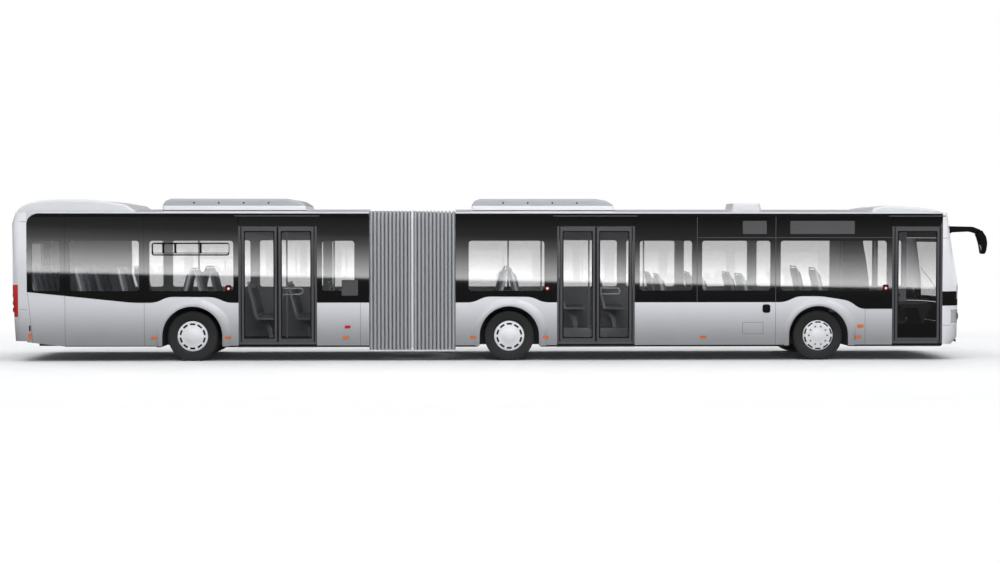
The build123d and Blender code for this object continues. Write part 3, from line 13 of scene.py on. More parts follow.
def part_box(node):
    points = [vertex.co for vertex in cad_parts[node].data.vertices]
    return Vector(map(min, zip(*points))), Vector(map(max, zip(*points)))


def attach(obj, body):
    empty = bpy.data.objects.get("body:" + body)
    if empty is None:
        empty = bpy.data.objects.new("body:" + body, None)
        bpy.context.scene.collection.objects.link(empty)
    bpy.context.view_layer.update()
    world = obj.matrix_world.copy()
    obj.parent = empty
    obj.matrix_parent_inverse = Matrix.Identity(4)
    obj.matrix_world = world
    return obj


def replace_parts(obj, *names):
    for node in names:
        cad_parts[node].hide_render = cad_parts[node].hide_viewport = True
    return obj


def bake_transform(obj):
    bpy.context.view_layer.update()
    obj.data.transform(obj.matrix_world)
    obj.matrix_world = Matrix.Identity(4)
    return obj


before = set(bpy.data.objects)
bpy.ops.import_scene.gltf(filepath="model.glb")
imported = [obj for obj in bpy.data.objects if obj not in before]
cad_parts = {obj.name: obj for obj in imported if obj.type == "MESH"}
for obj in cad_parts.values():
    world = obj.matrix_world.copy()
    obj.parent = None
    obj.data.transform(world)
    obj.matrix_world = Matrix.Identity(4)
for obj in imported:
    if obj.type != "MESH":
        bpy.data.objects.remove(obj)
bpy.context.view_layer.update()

LOG = logging.getLogger("bus")
FRONT, REAR = "front_car", "rear_car"
LEFT, RIGHT = 1, -1
SIDES = ((LEFT, "left"), (RIGHT, "right"))
MERGE = 1e-5
SHARP = 32.0
BEVEL_ANGLE = math.radians(60)
BOX_FACES = ((0, 1, 3, 2), (4, 6, 7, 5), (0, 4, 5, 1), (2, 3, 7, 6), (0, 2, 6, 4), (1, 5, 7, 3))

Point = tuple[float, float]
Spot = tuple[float, float, float]
Socket = bpy.types.NodeSocket


class Graph:
    """Short hand for wiring one node tree."""

    def __init__(self, tree: bpy.types.NodeTree) -> None:
        """Keeps the tree that the nodes go into."""
        self.tree = tree

    def node(self, kind: str, values: dict | None = None, **settings: object) -> bpy.types.Node:
        """Adds a node.

        Args:
            kind: Blender's type name of the node.
            values: Input sockets by name or number, with a constant or a socket to link.
            settings: Properties of the node.

        Returns:
            The new node.
        """
        node = self.tree.nodes.new(kind)
        for key, value in settings.items():
            setattr(node, key, value)
        for key, value in (values or {}).items():
            self.feed(node.inputs[key], value)
        return node

    def feed(self, socket: Socket, value: object) -> None:
        """Links a socket, or sets its constant.

        Args:
            socket: The input.
            value: A socket to link, or a constant.
        """
        if isinstance(value, bpy.types.NodeSocket):
            self.tree.links.new(value, socket)
        else:
            socket.default_value = value

    def math(self, operation: str, first: object, second: object = 0.0, clamp: bool = False) -> Socket:
        """One sum of two values, as a socket."""
        node = self.node("ShaderNodeMath", {0: first, 1: second}, operation=operation, use_clamp=clamp)
        return node.outputs[0]

    def mix(self, factor: object, first: object, second: object) -> Socket:
        """A blend of two colours, as a socket."""
        node = self.node("ShaderNodeMix", {0: factor, 6: first, 7: second}, data_type="RGBA")
        return node.outputs[2]

    def place(self) -> Socket:
        """The piece's own coordinates."""
        return self.node("ShaderNodeTexCoord").outputs["Object"]

    def axis(self, name: str) -> Socket:
        """One of the piece's own coordinates."""
        return self.node("ShaderNodeSeparateXYZ", {0: self.place()}).outputs[name]

    def noise(self, scale: object, detail: float = 3.0) -> Socket:
        """Soft noise over the piece, from 0 to 1."""
        node = self.node("ShaderNodeTexNoise", {"Vector": self.place(), "Scale": scale, "Detail": detail})
        return node.outputs[0]

    def fade(
        self, value: object, start: object, end: object, low: object = 0.0, high: object = 1.0
    ) -> Socket:
        """A smooth step of a value from one level to another."""
        levels = {0: value, 1: start, 2: end, 3: low, 4: high}
        return self.node("ShaderNodeMapRange", levels, interpolation_type="SMOOTHSTEP").outputs[0]

    def blend(self, factor: object, first: bpy.types.Node, second: bpy.types.Node) -> bpy.types.Node:
        """A blend of two shaders."""
        return self.node("ShaderNodeMixShader", {0: factor, 1: first.outputs[0], 2: second.outputs[0]})


class Effect(Enum):
    """Shared shader effects, each a node group."""

    MOTTLE = "mottle"
    # Dark grey mixed in low down: dust on dark parts, painted shade near the floor on light ones.
    DUST_AND_SHADE = "dust_and_painted_shade"
    GRAIN = "surface_grain"
    WEAVE = "weave"
    BARREL = "barrel"


SOCKETS = {
    Effect.MOTTLE: (("Color", "Scale", "Spread"), ("Color",)),
    Effect.DUST_AND_SHADE: (("Color", "Low", "High", "Dust And Shade Amount"), ("Color", "Dust And Shade Mask")),
    Effect.GRAIN: (("Scale", "Depth"), ("Height",)),
    Effect.WEAVE: (("Scale", "Depth"), ("Height", "Mask")),
    Effect.BARREL: (("Level", "Fall", "Slope", "Bend"), ("Height",)),
}


class EffectLibrary:
    """Builds each shared shader group once."""

    # Grey mixed into low parts: dust on dark finishes, painted shade on light ones.
    DUST_AND_SHADE_TONE = (0.085, 0.085, 0.09, 1.0)
    SPOT_SCALE = 2.6
    SPOT_DETAIL = 5.0
    SPOT_SHARE = 0.12
    GRAIN_DETAIL = 4.0

    def __init__(self) -> None:
        """Starts with no groups."""
        self.made: dict[Effect, bpy.types.NodeTree] = {}

    def get(self, effect: Effect) -> bpy.types.NodeTree:
        """The node group of an effect, built when first asked for."""
        self.made[effect] = self.made.get(effect) or self.build(effect)
        return self.made[effect]

    def build(self, effect: Effect) -> bpy.types.NodeTree:
        """Makes a group with its sockets and fills it.

        Args:
            effect: Which effect to make.

        Returns:
            The node group.
        """
        tree = bpy.data.node_groups.new(effect.value, "ShaderNodeTree")
        inputs, outputs = SOCKETS[effect]
        for way, names in (("INPUT", inputs), ("OUTPUT", outputs)):
            for name in names:
                kind = "Color" if name == "Color" else "Float"
                tree.interface.new_socket(name, in_out=way, socket_type=f"NodeSocket{kind}")
        graph = Graph(tree)
        given = graph.node("NodeGroupInput").outputs
        result = graph.node("NodeGroupOutput").inputs
        getattr(self, effect.value)(graph, given, result)
        return tree

    def mottle(self, graph: Graph, given: object, result: object) -> None:
        """Lightens and darkens a colour in soft clouds.

        Args:
            graph: Wires of the group.
            given: Its inputs.
            result: Its outputs.
        """
        cloud = graph.math("SUBTRACT", graph.noise(given["Scale"]), 0.5)
        value = graph.math("ADD", graph.math("MULTIPLY", cloud, given["Spread"]), 1.0)
        shade = graph.node("ShaderNodeHueSaturation", {"Color": given["Color"], "Value": value})
        graph.feed(result["Color"], shade.outputs[0])

    def dust_and_painted_shade(self, graph: Graph, given: object, result: object) -> None:
        """Mixes dark grey into the low parts of a piece, in soft spots: dust on dark finishes, painted shade
        towards the bottom on light ones.

        Args:
            graph: Wires of the group.
            given: Its inputs.
            result: Its outputs.
        """
        low = graph.fade(graph.axis("Z"), given["Low"], given["High"], 1.0, 0.0)
        noise = graph.noise(self.SPOT_SCALE, self.SPOT_DETAIL)
        spots = graph.math("ADD", graph.math("MULTIPLY", noise, self.SPOT_SHARE), 1.0 - self.SPOT_SHARE / 2)
        dust_and_shade = graph.math("MULTIPLY", graph.math("MULTIPLY", low, spots), given["Dust And Shade Amount"], True)
        graph.feed(result["Color"], graph.mix(dust_and_shade, given["Color"], self.DUST_AND_SHADE_TONE))
        graph.feed(result["Dust And Shade Mask"], dust_and_shade)

    def surface_grain(self, graph: Graph, given: object, result: object) -> None:
        """Fine pitting for bumps."""
        noise = graph.noise(given["Scale"], self.GRAIN_DETAIL)
        graph.feed(result["Height"], graph.math("MULTIPLY", noise, given["Depth"]))

    def weave(self, graph: Graph, given: object, result: object) -> None:
        """Crossed threads for cloth.

        Args:
            graph: Wires of the group.
            given: Its inputs.
            result: Its outputs.
        """
        turns = [graph.math("MULTIPLY", graph.axis(name), given["Scale"]) for name in "XYZ"]
        first, second, third = (graph.math("SINE", turn) for turn in turns)
        thread = graph.math("MULTIPLY", graph.math("ADD", first, second), graph.math("ADD", second, third))
        mask = graph.math("MULTIPLY_ADD", thread, 0.25, True)
        mask.node.inputs[2].default_value = 0.5
        graph.feed(result["Height"], graph.math("MULTIPLY", mask, given["Depth"]))
        graph.feed(result["Mask"], mask)

    def barrel(self, graph: Graph, given: object, result: object) -> None:
        """Slight upright bow of a flat panel, as a height for bumps.

        Args:
            graph: Wires of the group.
            given: Its inputs.
            result: Its outputs.
        """
        fall = graph.math("MULTIPLY", graph.axis("X"), given["Fall"])
        up = graph.math("SUBTRACT", graph.axis("Z"), graph.math("SUBTRACT", given["Level"], fall))
        bow = graph.math("MULTIPLY", graph.math("MULTIPLY", up, up), given["Bend"])
        total = graph.math("ADD", graph.math("MULTIPLY", up, given["Slope"]), bow)
        graph.feed(result["Height"], graph.math("MULTIPLY", total, -1.0))


EFFECTS = EffectLibrary()


class Relief(Enum):
    """What bends the light on a finish."""

    PLAIN = 0
    GRAIN = 1
    WEAVE = 2
    PANE = 3
    PANEL = 4


BOWS = {
    Relief.PANE: {"Level": 1.54, "Fall": 0.028, "Slope": 0.0157, "Bend": 0.025},
    Relief.PANEL: {"Level": 0.75, "Fall": 0.0, "Slope": 0.0, "Bend": 0.1},
}


@dataclass(frozen=True)
class Finish:
    """One surface: colour, sheen, clouds, dust and painted shade low down, and relief."""

    name: str
    color: Spot
    roughness: float = 0.5
    metallic: float = 0.0
    coat: float = 0.0
    spread: float = 0.12
    scale: float = 3.0
    # Amount of dark grey mixed in low down: painted shade on light finishes, dust on dark ones.
    dust_shade: float = 0.0
    dust_shade_top: float = 1.0
    alpha: float = 1.0
    ior: float = 1.5
    relief: Relief = Relief.GRAIN
    relief_scale: float = 180.0
    relief_depth: float = 0.0004
    dust_shade_low: float = 0.25
    dust_shade_rough: float = 0.35
    thread_dark: float = 0.72
    coat_rough: float = 0.06

    def material(self) -> bpy.types.Material:
        """The finish as a material, built once."""
        return bpy.data.materials.get(f"{self.name}_finish") or self.build()

    def build(self) -> bpy.types.Material:
        """Wires the material.

        Returns:
            A material of one Principled node fed by the shared groups.
        """
        material = bpy.data.materials.new(f"{self.name}_finish")
        material.use_nodes = True
        graph = Graph(material.node_tree)
        clouds = {"Color": (*self.color, 1.0), "Scale": self.scale, "Spread": self.spread}
        color, rough = self.filled(graph, Effect.MOTTLE, clouds).outputs["Color"], self.roughness
        # Dark grey mixed in towards the bottom, with more roughness: painted shade on light finishes, dust on
        # dark ones.
        if self.dust_shade:
            dust_and_shade = {"Color": color, "Low": self.dust_shade_low, "High": self.dust_shade_top, "Dust And Shade Amount": self.dust_shade}
            dust_shade = self.filled(graph, Effect.DUST_AND_SHADE, dust_and_shade)
            color = dust_shade.outputs["Color"]
            dull = graph.math("MULTIPLY", dust_shade.outputs["Dust And Shade Mask"], self.dust_shade_rough)
            rough = graph.math("ADD", dull, self.roughness, True)
        if self.relief is Relief.WEAVE:
            threads = {"Scale": self.relief_scale, "Depth": self.relief_depth}
            cloth = self.filled(graph, Effect.WEAVE, threads)
            dark = [self.thread_dark * part for part in self.color]
            color = graph.mix(cloth.outputs["Mask"], (*dark, 1.0), color)
        values = {
            "Base Color": color, "Roughness": rough, "Metallic": self.metallic, "Alpha": self.alpha,
            "Coat Weight": self.coat, "Coat Roughness": self.coat_rough, "IOR": self.ior,
        }
        height = self.height(graph)
        if height:
            bump = graph.node("ShaderNodeBump", {"Strength": 1.0, "Distance": 1.0, "Height": height})
            values["Normal"] = bump.outputs[0]
        shader = material.node_tree.nodes["Principled BSDF"]
        for name, value in values.items():
            graph.feed(shader.inputs[name], value)
        return material

    @staticmethod
    def filled(graph: Graph, effect: Effect, values: dict) -> bpy.types.Node:
        """Adds one shared effect and sets its inputs."""
        return graph.node("ShaderNodeGroup", values, node_tree=EFFECTS.get(effect))

    def height(self, graph: Graph) -> Socket | None:
        """The finish's relief as a height for bumps.

        Args:
            graph: Wires of the material.

        Returns:
            The height, or None where the surface is plain.
        """
        if self.relief is Relief.PLAIN:
            return None
        if self.relief in BOWS:
            return self.filled(graph, Effect.BARREL, BOWS[self.relief]).outputs["Height"]
        effect = Effect.WEAVE if self.relief is Relief.WEAVE else Effect.GRAIN
        values = {"Scale": self.relief_scale, "Depth": self.relief_depth}
        return self.filled(graph, effect, values).outputs["Height"]


# The side silver takes a strong dark-grey mix towards the skirt: painted shade near the floor.
SILVER = Finish(
    "silver_side", (0.62, 0.63, 0.66), 0.36, 0.5, 0.35,
    spread=0.03, dust_shade=0.62, dust_shade_top=1.25, relief=Relief.PANEL,
)
SILVER_TOP = Finish("silver_roof", (0.54, 0.55, 0.58), 0.36, 0.45, 0.4, spread=0.05)
WHITE = Finish("roof_white", (0.62, 0.63, 0.65), 0.38, 0.15, coat=0.3, spread=0.05)
COWL = Finish("roof_cowl", (0.56, 0.57, 0.59), 0.36, 0.25, coat=0.3, spread=0.05)
# A lighter copy of the side silver for the nose and the windscreen pillars: painted light where the nose faces
# the light.
SILVER_NOSE_LIT = Finish("silver_nose_lit", (0.72, 0.73, 0.76), 0.36, 0.45, 0.35, spread=0.04, dust_shade=0.12)
# A darker copy of the pod white for the pods' upper sides: painted shade.
POD_SHADED = Finish("pod_shaded", (0.34, 0.35, 0.37), 0.4, 0.3, spread=0.08)
FRIT = Finish("black_glass", (0.0016, 0.0016, 0.0020), 0.03, ior=2.15, spread=0.2, relief=Relief.PANE)
CLEAR = Finish(
    "tinted_glass", (0.006, 0.007, 0.008), 0.02, alpha=0.19, ior=5.6, spread=0.2, relief=Relief.PANE
)
TAIL_PANE = Finish(
    "tail_glass", (0.010, 0.011, 0.012), 0.03, alpha=0.62, ior=2.4, spread=0.2, relief=Relief.PLAIN
)
SCREEN = Finish(
    "screen_glass", (0.010, 0.012, 0.013), 0.02, alpha=0.28, ior=4.0, spread=0.2, relief=Relief.PLAIN
)
BLACK = Finish("black_trim", (0.0035, 0.0035, 0.004), 0.38, ior=1.2, spread=0.25)
RUBBER = Finish("black_rubber", (0.008, 0.008, 0.008), 0.72, ior=1.2, spread=0.25, relief_depth=0.0006)
JOINT = Finish("joint_dark", (0.055, 0.056, 0.060), 0.6, spread=0.15)
LINING = Finish("lining", (0.26, 0.27, 0.28), 0.6, spread=0.08)
DOOR_GREY = Finish("door_frame", (0.048, 0.0475, 0.052), 0.36, ior=1.35, spread=0.12)
CHASSIS = Finish("chassis_black", (0.012, 0.012, 0.013), 0.6, spread=0.3, dust_shade=0.3, dust_shade_top=0.6)
STEEL = Finish("bare_steel", (0.36, 0.37, 0.38), 0.38, 0.85, spread=0.1)
FLOORING = Finish("floor_grey", (0.05, 0.052, 0.058), 0.7, spread=0.3, scale=40.0)
IRON = Finish("engine_iron", (0.05, 0.05, 0.052), 0.66, 0.3, spread=0.3)
TYRE = Finish("tyre_rubber", (0.011, 0.0113, 0.0112), 0.7, ior=1.3, spread=0.3, dust_shade=0.12, dust_shade_top=0.9)
RIM = Finish("rim_silver", (0.60, 0.61, 0.63), 0.42, 0.3, spread=0.06)
SLOT_DARK = Finish("slot_dark", (0.006, 0.006, 0.006), 0.8, spread=0.2)
FOLD = Finish("bellows_cloth", (0.250, 0.258, 0.268), 0.5, ior=1.35, spread=0.1, relief_scale=420.0)
HOOP = Finish("hoop_aluminium", (0.55, 0.56, 0.57), 0.35, 0.4, spread=0.06)
CLOTH = Finish(
    "seat_cloth", (0.15, 0.165, 0.19), 0.85,
    spread=0.2, relief=Relief.WEAVE, relief_scale=900.0, relief_depth=0.0005,
)
SHELL = Finish("seat_shell", (0.30, 0.31, 0.32), 0.5, spread=0.1)
NUT = Finish("wheel_nut", (0.10, 0.10, 0.105), 0.4, 0.5, spread=0.15)
RAIL = Finish("handrail_grey", (0.30, 0.31, 0.32), 0.4, spread=0.08)
CAB = Finish("cab_plastic", (0.022, 0.023, 0.025), 0.6, spread=0.2)
AMBER = Finish("amber_lamp", (0.46, 0.092, 0.010), 0.25, coat=0.4, spread=0.15)
RED = Finish("red_lamp", (0.36, 0.008, 0.008), 0.2, coat=0.6, spread=0.2)
LAMP = Finish("clear_lamp", (0.42, 0.44, 0.46), 0.12, 0.3, coat=0.8, spread=0.15)
LENS = Finish("lamp_lens", (0.70, 0.72, 0.74), 0.06, 0.9, coat=0.5, spread=0.1)
MIRROR = Finish("mirror_glass", (0.70, 0.72, 0.74), 0.03, 1.0, spread=0.04, relief=Relief.PLAIN)
SIGN = Finish("sign_blank", (0.055, 0.055, 0.058), 0.12, ior=2.0, spread=0.3, scale=60.0, relief=Relief.PANE)
PLATE = Finish("plate_blank", (0.60, 0.60, 0.58), 0.5, spread=0.06)


@dataclass(frozen=True)
class Facet:
    """A face of a CAD node: its middle, its normal and the limits of its solid."""

    middle: Vector
    normal: Vector
    low: Vector
    high: Vector


Chooser = Callable[[Facet], Finish]


def about(middle: float, half: float) -> Point:
    """Two limits at the same distance from a middle."""
    return middle - half, middle + half


def circle(sides: int, radius: float = 1.0) -> list[Point]:
    """Points round a circle."""
    turns = [2 * math.pi * step / sides for step in range(sides)]
    return [(radius * math.cos(turn), radius * math.sin(turn)) for turn in turns]


def ring_faces(bands: int, sides: int) -> list[list[int]]:
    """Faces that join closed rings of corners.

    Args:
        bands: Number of gaps between rings.
        sides: Corners of a ring.

    Returns:
        Corner numbers of each face, band after band.
    """
    faces = []
    for start in range(0, bands * sides, sides):
        for step in range(sides):
            a, b = start + step, start + (step + 1) % sides
            faces.append([a, b, b + sides, a + sides])
    return faces


def grid_faces(rows: int, size: int, columns: Sequence[int]) -> list[list[int]]:
    """Faces of some columns of an open sheet that has so many corners in a row."""
    starts = [row * size + column for row in range(rows) for column in columns]
    return [[a, a + 1, a + size + 1, a + size] for a in starts]


class Shape:
    """Faces gathered for one mesh, each with its finish."""

    def __init__(self) -> None:
        """Starts empty."""
        self.verts: list[Vector] = []
        self.faces: list[list[int]] = []
        self.marks: list[Finish] = []

    def put(self, verts: Sequence, faces: Sequence, finish: Finish | list[Finish]) -> None:
        """Adds faces over their own vertices.

        Args:
            verts: Corners in metres.
            faces: Corner numbers of each face.
            finish: Finish of all the faces, or of each.
        """
        start = len(self.verts)
        self.verts += [Vector(v) for v in verts]
        self.faces += [[start + i for i in face] for face in faces]
        self.marks += finish if isinstance(finish, list) else [finish] * len(faces)

    def box(self, x: Point, y: Point, z: Point, finish: Finish) -> None:
        """Adds a plain box between pairs of limits."""
        self.put([(a, b, c) for a in x for b in y for c in z], BOX_FACES, finish)

    def prism(self, outline: Sequence[Point], y: Point, finish: Finish, holes: Sequence = ()) -> None:
        """Adds an upright plate drawn as an outline in side view, with holes through it.

        Args:
            outline: Corners along the bus and up.
            y: The plate's two faces across the bus.
            finish: Its finish.
            holes: Outlines of the holes.
        """
        loops = [list(outline), *[list(hole) for hole in holes]]
        flat = [p for loop in loops for p in loop]
        tris = tessellate_polygon([[Vector((a, b, 0.0)) for a, b in loop] for loop in loops])
        count = len(flat)
        verts = [(a, level, b) for level in y for a, b in flat]
        faces = [list(t) for t in tris] + [[i + count for i in reversed(t)] for t in tris]
        start = 0
        for loop in loops:
            size = len(loop)
            for i in range(size):
                a, b = start + i, start + (i + 1) % size
                faces.append([a, b, b + count, a + count])
            start += size
        self.put(verts, faces, finish)

    def lathe(
        self, centre: Vector, profile: Sequence[Point], sides: int, finish: Finish | list[Finish],
        axis: int = 1,
    ) -> None:
        """Adds a turned form about an axis.

        Args:
            centre: A point on the axis.
            profile: Radius and place along the axis, from one end to the other.
            sides: Number of steps round the axis.
            finish: Finish of all bands, or of each.
            axis: 0 for an axis along the bus, 1 for one across it.
        """
        verts = []
        for radius, along in profile:
            ring = circle(sides, radius)
            verts += [centre + Vector((a, along, b) if axis else (along, a, b)) for a, b in ring]
        if isinstance(finish, list):
            finish = [band for band in finish for _ in range(sides)]
        self.put(verts, ring_faces(len(profile) - 1, sides), finish)

    def tube(self, path: Sequence, radius: float, sides: int, finish: Finish) -> None:
        """Adds a round bar along a path, closed at its ends.

        Args:
            path: Points of its middle line.
            radius: Radius in metres.
            sides: Number of steps round the bar.
            finish: Its finish.
        """
        points = [Vector(p) for p in path]
        verts, side = [], Vector()
        for i, point in enumerate(points):
            ahead = (points[min(i + 1, len(points) - 1)] - points[max(i - 1, 0)]).normalized()
            side = (side - ahead * side.dot(ahead) if i else ahead.orthogonal()).normalized()
            other = ahead.cross(side)
            verts += [point + radius * (a * side + b * other) for a, b in circle(sides)]
        last = len(verts) - sides
        caps = [list(range(sides))[::-1], list(range(last, last + sides))]
        self.put(verts, ring_faces(len(points) - 1, sides) + caps, finish)

    def pad(self, place: Matrix, form: "PadForm", scale: Spot, finish: Finish) -> None:
        """Adds a padded form, stretched and put in its place."""
        verts = [place @ Vector([part * size for part, size in zip(spot, scale)]) for spot in form.verts]
        self.put(verts, form.faces, finish)

    def build(
        self, name: str, finishes: Sequence[Finish], body: str, slot: str,
        angle: float = SHARP, bevel: float = 0.0,
    ) -> bpy.types.Object:
        """Makes the object and rides it on its body.

        Args:
            name: Name of the piece.
            finishes: Finishes in the order of the piece's slots.
            body: CAD body that carries the piece.
            slot: Not used.
            angle: Edges sharper than this, in degrees, stay sharp.
            bevel: Width of rounded edges in metres.

        Returns:
            The new object.
        """
        order = {finish: number for number, finish in enumerate(finishes)}
        mesh = bpy.data.meshes.new(name)
        mesh.from_pydata([tuple(v) for v in self.verts], [], self.faces)
        for polygon, mark in zip(mesh.polygons, self.marks):
            polygon.material_index = order[mark]
        bm = bmesh.new()
        bm.from_mesh(mesh)
        bmesh.ops.remove_doubles(bm, verts=bm.verts, dist=MERGE)
        bmesh.ops.recalc_face_normals(bm, faces=bm.faces)
        if bevel:
            edges = [e for e in bm.edges if len(e.link_faces) == 2 and e.calc_face_angle() > BEVEL_ANGLE]
            bmesh.ops.bevel(bm, geom=edges, offset=bevel, segments=2, affect="EDGES", profile=0.5)
        soften(bm, angle)
        bm.to_mesh(mesh)
        bm.free()
        return settle(bpy.data.objects.new(name, mesh), finishes, body)


def soften(bm: bmesh.types.BMesh, angle: float) -> None:
    """Shades a mesh smooth, with its sharp edges kept.

    Args:
        bm: The mesh.
        angle: Edges sharper than this, in degrees, stay sharp.
    """
    limit = math.radians(angle)
    for face in bm.faces:
        face.smooth = True
    for edge in bm.edges:
        edge.smooth = len(edge.link_faces) == 2 and edge.calc_face_angle() < limit


def settle(obj: bpy.types.Object, finishes: Sequence[Finish], body: str) -> bpy.types.Object:
    """Links a new piece, gives it its finishes and its body.

    Args:
        obj: The new object.
        finishes: Its finishes in order.
        body: CAD body that carries it, or an empty name where it bends between bodies.

    Returns:
        The same object.
    """
    bpy.context.scene.collection.objects.link(obj)
    for finish in finishes:
        obj.data.materials.append(finish.material())
    if body:
        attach(obj, body)
    LOG.info("%s: %d faces", obj.name, len(obj.data.polygons))
    return obj


def corners(spots: Sequence[Vector]) -> tuple[Vector, Vector]:
    """Lowest and highest corner of a set of points."""
    columns = list(zip(*spots))
    return Vector([min(column) for column in columns]), Vector([max(column) for column in columns])


def islands(bm: bmesh.types.BMesh) -> dict[int, tuple[Vector, Vector]]:
    """Finds the separate solids of a mesh.

    Args:
        bm: The mesh, with its faces numbered.

    Returns:
        Limits of the solid that each face belongs to, by the face's number.
    """
    limits: dict[int, tuple[Vector, Vector]] = {}
    bm.faces.ensure_lookup_table()
    for first in bm.faces:
        if first.index in limits:
            continue
        found, stack = {first}, [first]
        while stack:
            for edge in stack.pop().edges:
                for face in edge.link_faces:
                    if face not in found:
                        found.add(face)
                        stack.append(face)
        span = corners([v.co for face in found for v in face.verts])
        for face in found:
            limits[face.index] = span
    return limits


def merged(node: str) -> bmesh.types.BMesh:
    """Copies a CAD node's mesh.

    Args:
        node: Name of the CAD node.

    Returns:
        The copy, with its doubles merged.
    """
    bm = bmesh.new()
    bm.from_mesh(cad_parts[node].data)
    bmesh.ops.remove_doubles(bm, verts=bm.verts, dist=MERGE)
    return bm


def split(bm: bmesh.types.BMesh, axis: int, level: float) -> None:
    """Cuts a mesh's faces at a level of one axis."""
    way = Vector([1.0 if i == axis else 0.0 for i in range(3)])
    bmesh.ops.bisect_plane(bm, geom=[*bm.verts, *bm.edges, *bm.faces], plane_co=way * level, plane_no=way)


def dress(
    node: str, finishes: Sequence[Finish], body: str, choose: Chooser | None = None,
    cuts: Sequence[tuple[int, float]] = (), angle: float = SHARP,
) -> bpy.types.Object:
    """Stands a smooth copy for a CAD node, with a finish for each face.

    Args:
        node: Name of the CAD node.
        finishes: Finishes in order.
        body: CAD body that carries it.
        choose: Gives the finish of a face, or None where all faces have the first one.
        cuts: Axis and place of flat cuts, where the finish changes within a face.
        angle: Edges sharper than this, in degrees, stay sharp.

    Returns:
        The new object.
    """
    bm = merged(node)
    for axis, level in cuts:
        split(bm, axis, level)
    bm.faces.index_update()
    limits = islands(bm) if choose else {}
    for face in bm.faces:
        face.material_index = 0
        if choose:
            facet = Facet(face.calc_center_median(), face.normal, *limits[face.index])
            face.material_index = finishes.index(choose(facet))
    soften(bm, angle)
    mesh = bpy.data.meshes.new(f"{node}_look")
    bm.to_mesh(mesh)
    bm.free()
    obj = settle(bpy.data.objects.new(f"{node}_look", mesh), finishes, body)
    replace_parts(obj, node)
    return obj


def paint(node: str, finish: Finish) -> None:
    """Gives a CAD node that stays its finish.

    Args:
        node: Name of the CAD node.
        finish: Its finish.
    """
    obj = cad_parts[node]
    if not obj.data.materials:
        obj.data.materials.append(finish.material())
    for place in obj.material_slots:
        place.link = "OBJECT"
        place.material = finish.material()
    LOG.info("%s: painted %s", node, finish.name)


def round_rect(x: Point, z: Point, radius: float, steps: int = 5) -> list[Point]:
    """Outline of a rectangle with round corners.

    Args:
        x: Limits along the bus.
        z: Limits of height.
        radius: Radius of the corners.
        steps: Chords of each corner.

    Returns:
        Points along the bus and up.
    """
    corner_spots = [(x[1], z[1], 0), (x[0], z[1], 1), (x[0], z[0], 2), (x[1], z[0], 3)]
    points = []
    for cx, cz, quarter in corner_spots:
        mx = cx - math.copysign(radius, cx - sum(x) / 2)
        mz = cz - math.copysign(radius, cz - sum(z) / 2)
        for step in range(steps + 1):
            turn = math.pi / 2 * (quarter + step / steps)
            points.append((mx + radius * math.cos(turn), mz + radius * math.sin(turn)))
    return points


def eased(line: Sequence[Point], reach: float = 0.115, steps: int = 4) -> list[Point]:
    """Rounds off the corners of a broken line.

    Args:
        line: Its points.
        reach: Length of a run that the rounding takes up.
        steps: Chords of each corner.

    Returns:
        The line with short chords for corners.
    """
    points = [line[0]]
    for p, q, r in zip(line, line[1:], line[2:]):
        before = min(reach / math.dist(p, q), 0.5)
        after = min(reach / math.dist(q, r), 0.5)
        start = [b + (a - b) * before for a, b in zip(p, q)]
        end = [b + (c - b) * after for b, c in zip(q, r)]
        for step in range(steps + 1):
            t = step / steps
            weights = ((1 - t) ** 2, 2 * t * (1 - t), t**2)
            points.append(tuple(sum(w * v for w, v in zip(weights, abc)) for abc in zip(start, q, end)))
    return [*points, line[-1]]


def level_at(line: Sequence[Point], x: float) -> float:
    """Height of a broken line.

    Args:
        line: Its points, from low to high places.
        x: Place along the bus.

    Returns:
        The height there, or the last one past the line's end.
    """
    for (x1, z1), (x2, z2) in zip(line, line[1:]):
        if x1 <= x <= x2:
            return z1 + (z2 - z1) * (x - x1) / (x2 - x1)
    return line[-1][1]


def middle_of(node: str, axis: int = 0) -> float:
    """Middle of a CAD node's box along an axis."""
    low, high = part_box(node)
    return (low[axis] + high[axis]) / 2


DOORS = ("door_1", "door_2_rear", "door_2_front", "door_3_rear", "door_3_front")
# Joints between panes, along the bus from the front axle and from the rear axle
FRONT_JOINTS = {"first": -2.325, "second": -0.823, "cab": 0.895, "quarter": 1.740}
REAR_JOINTS = {"tail": -2.387, "rear": -0.902}


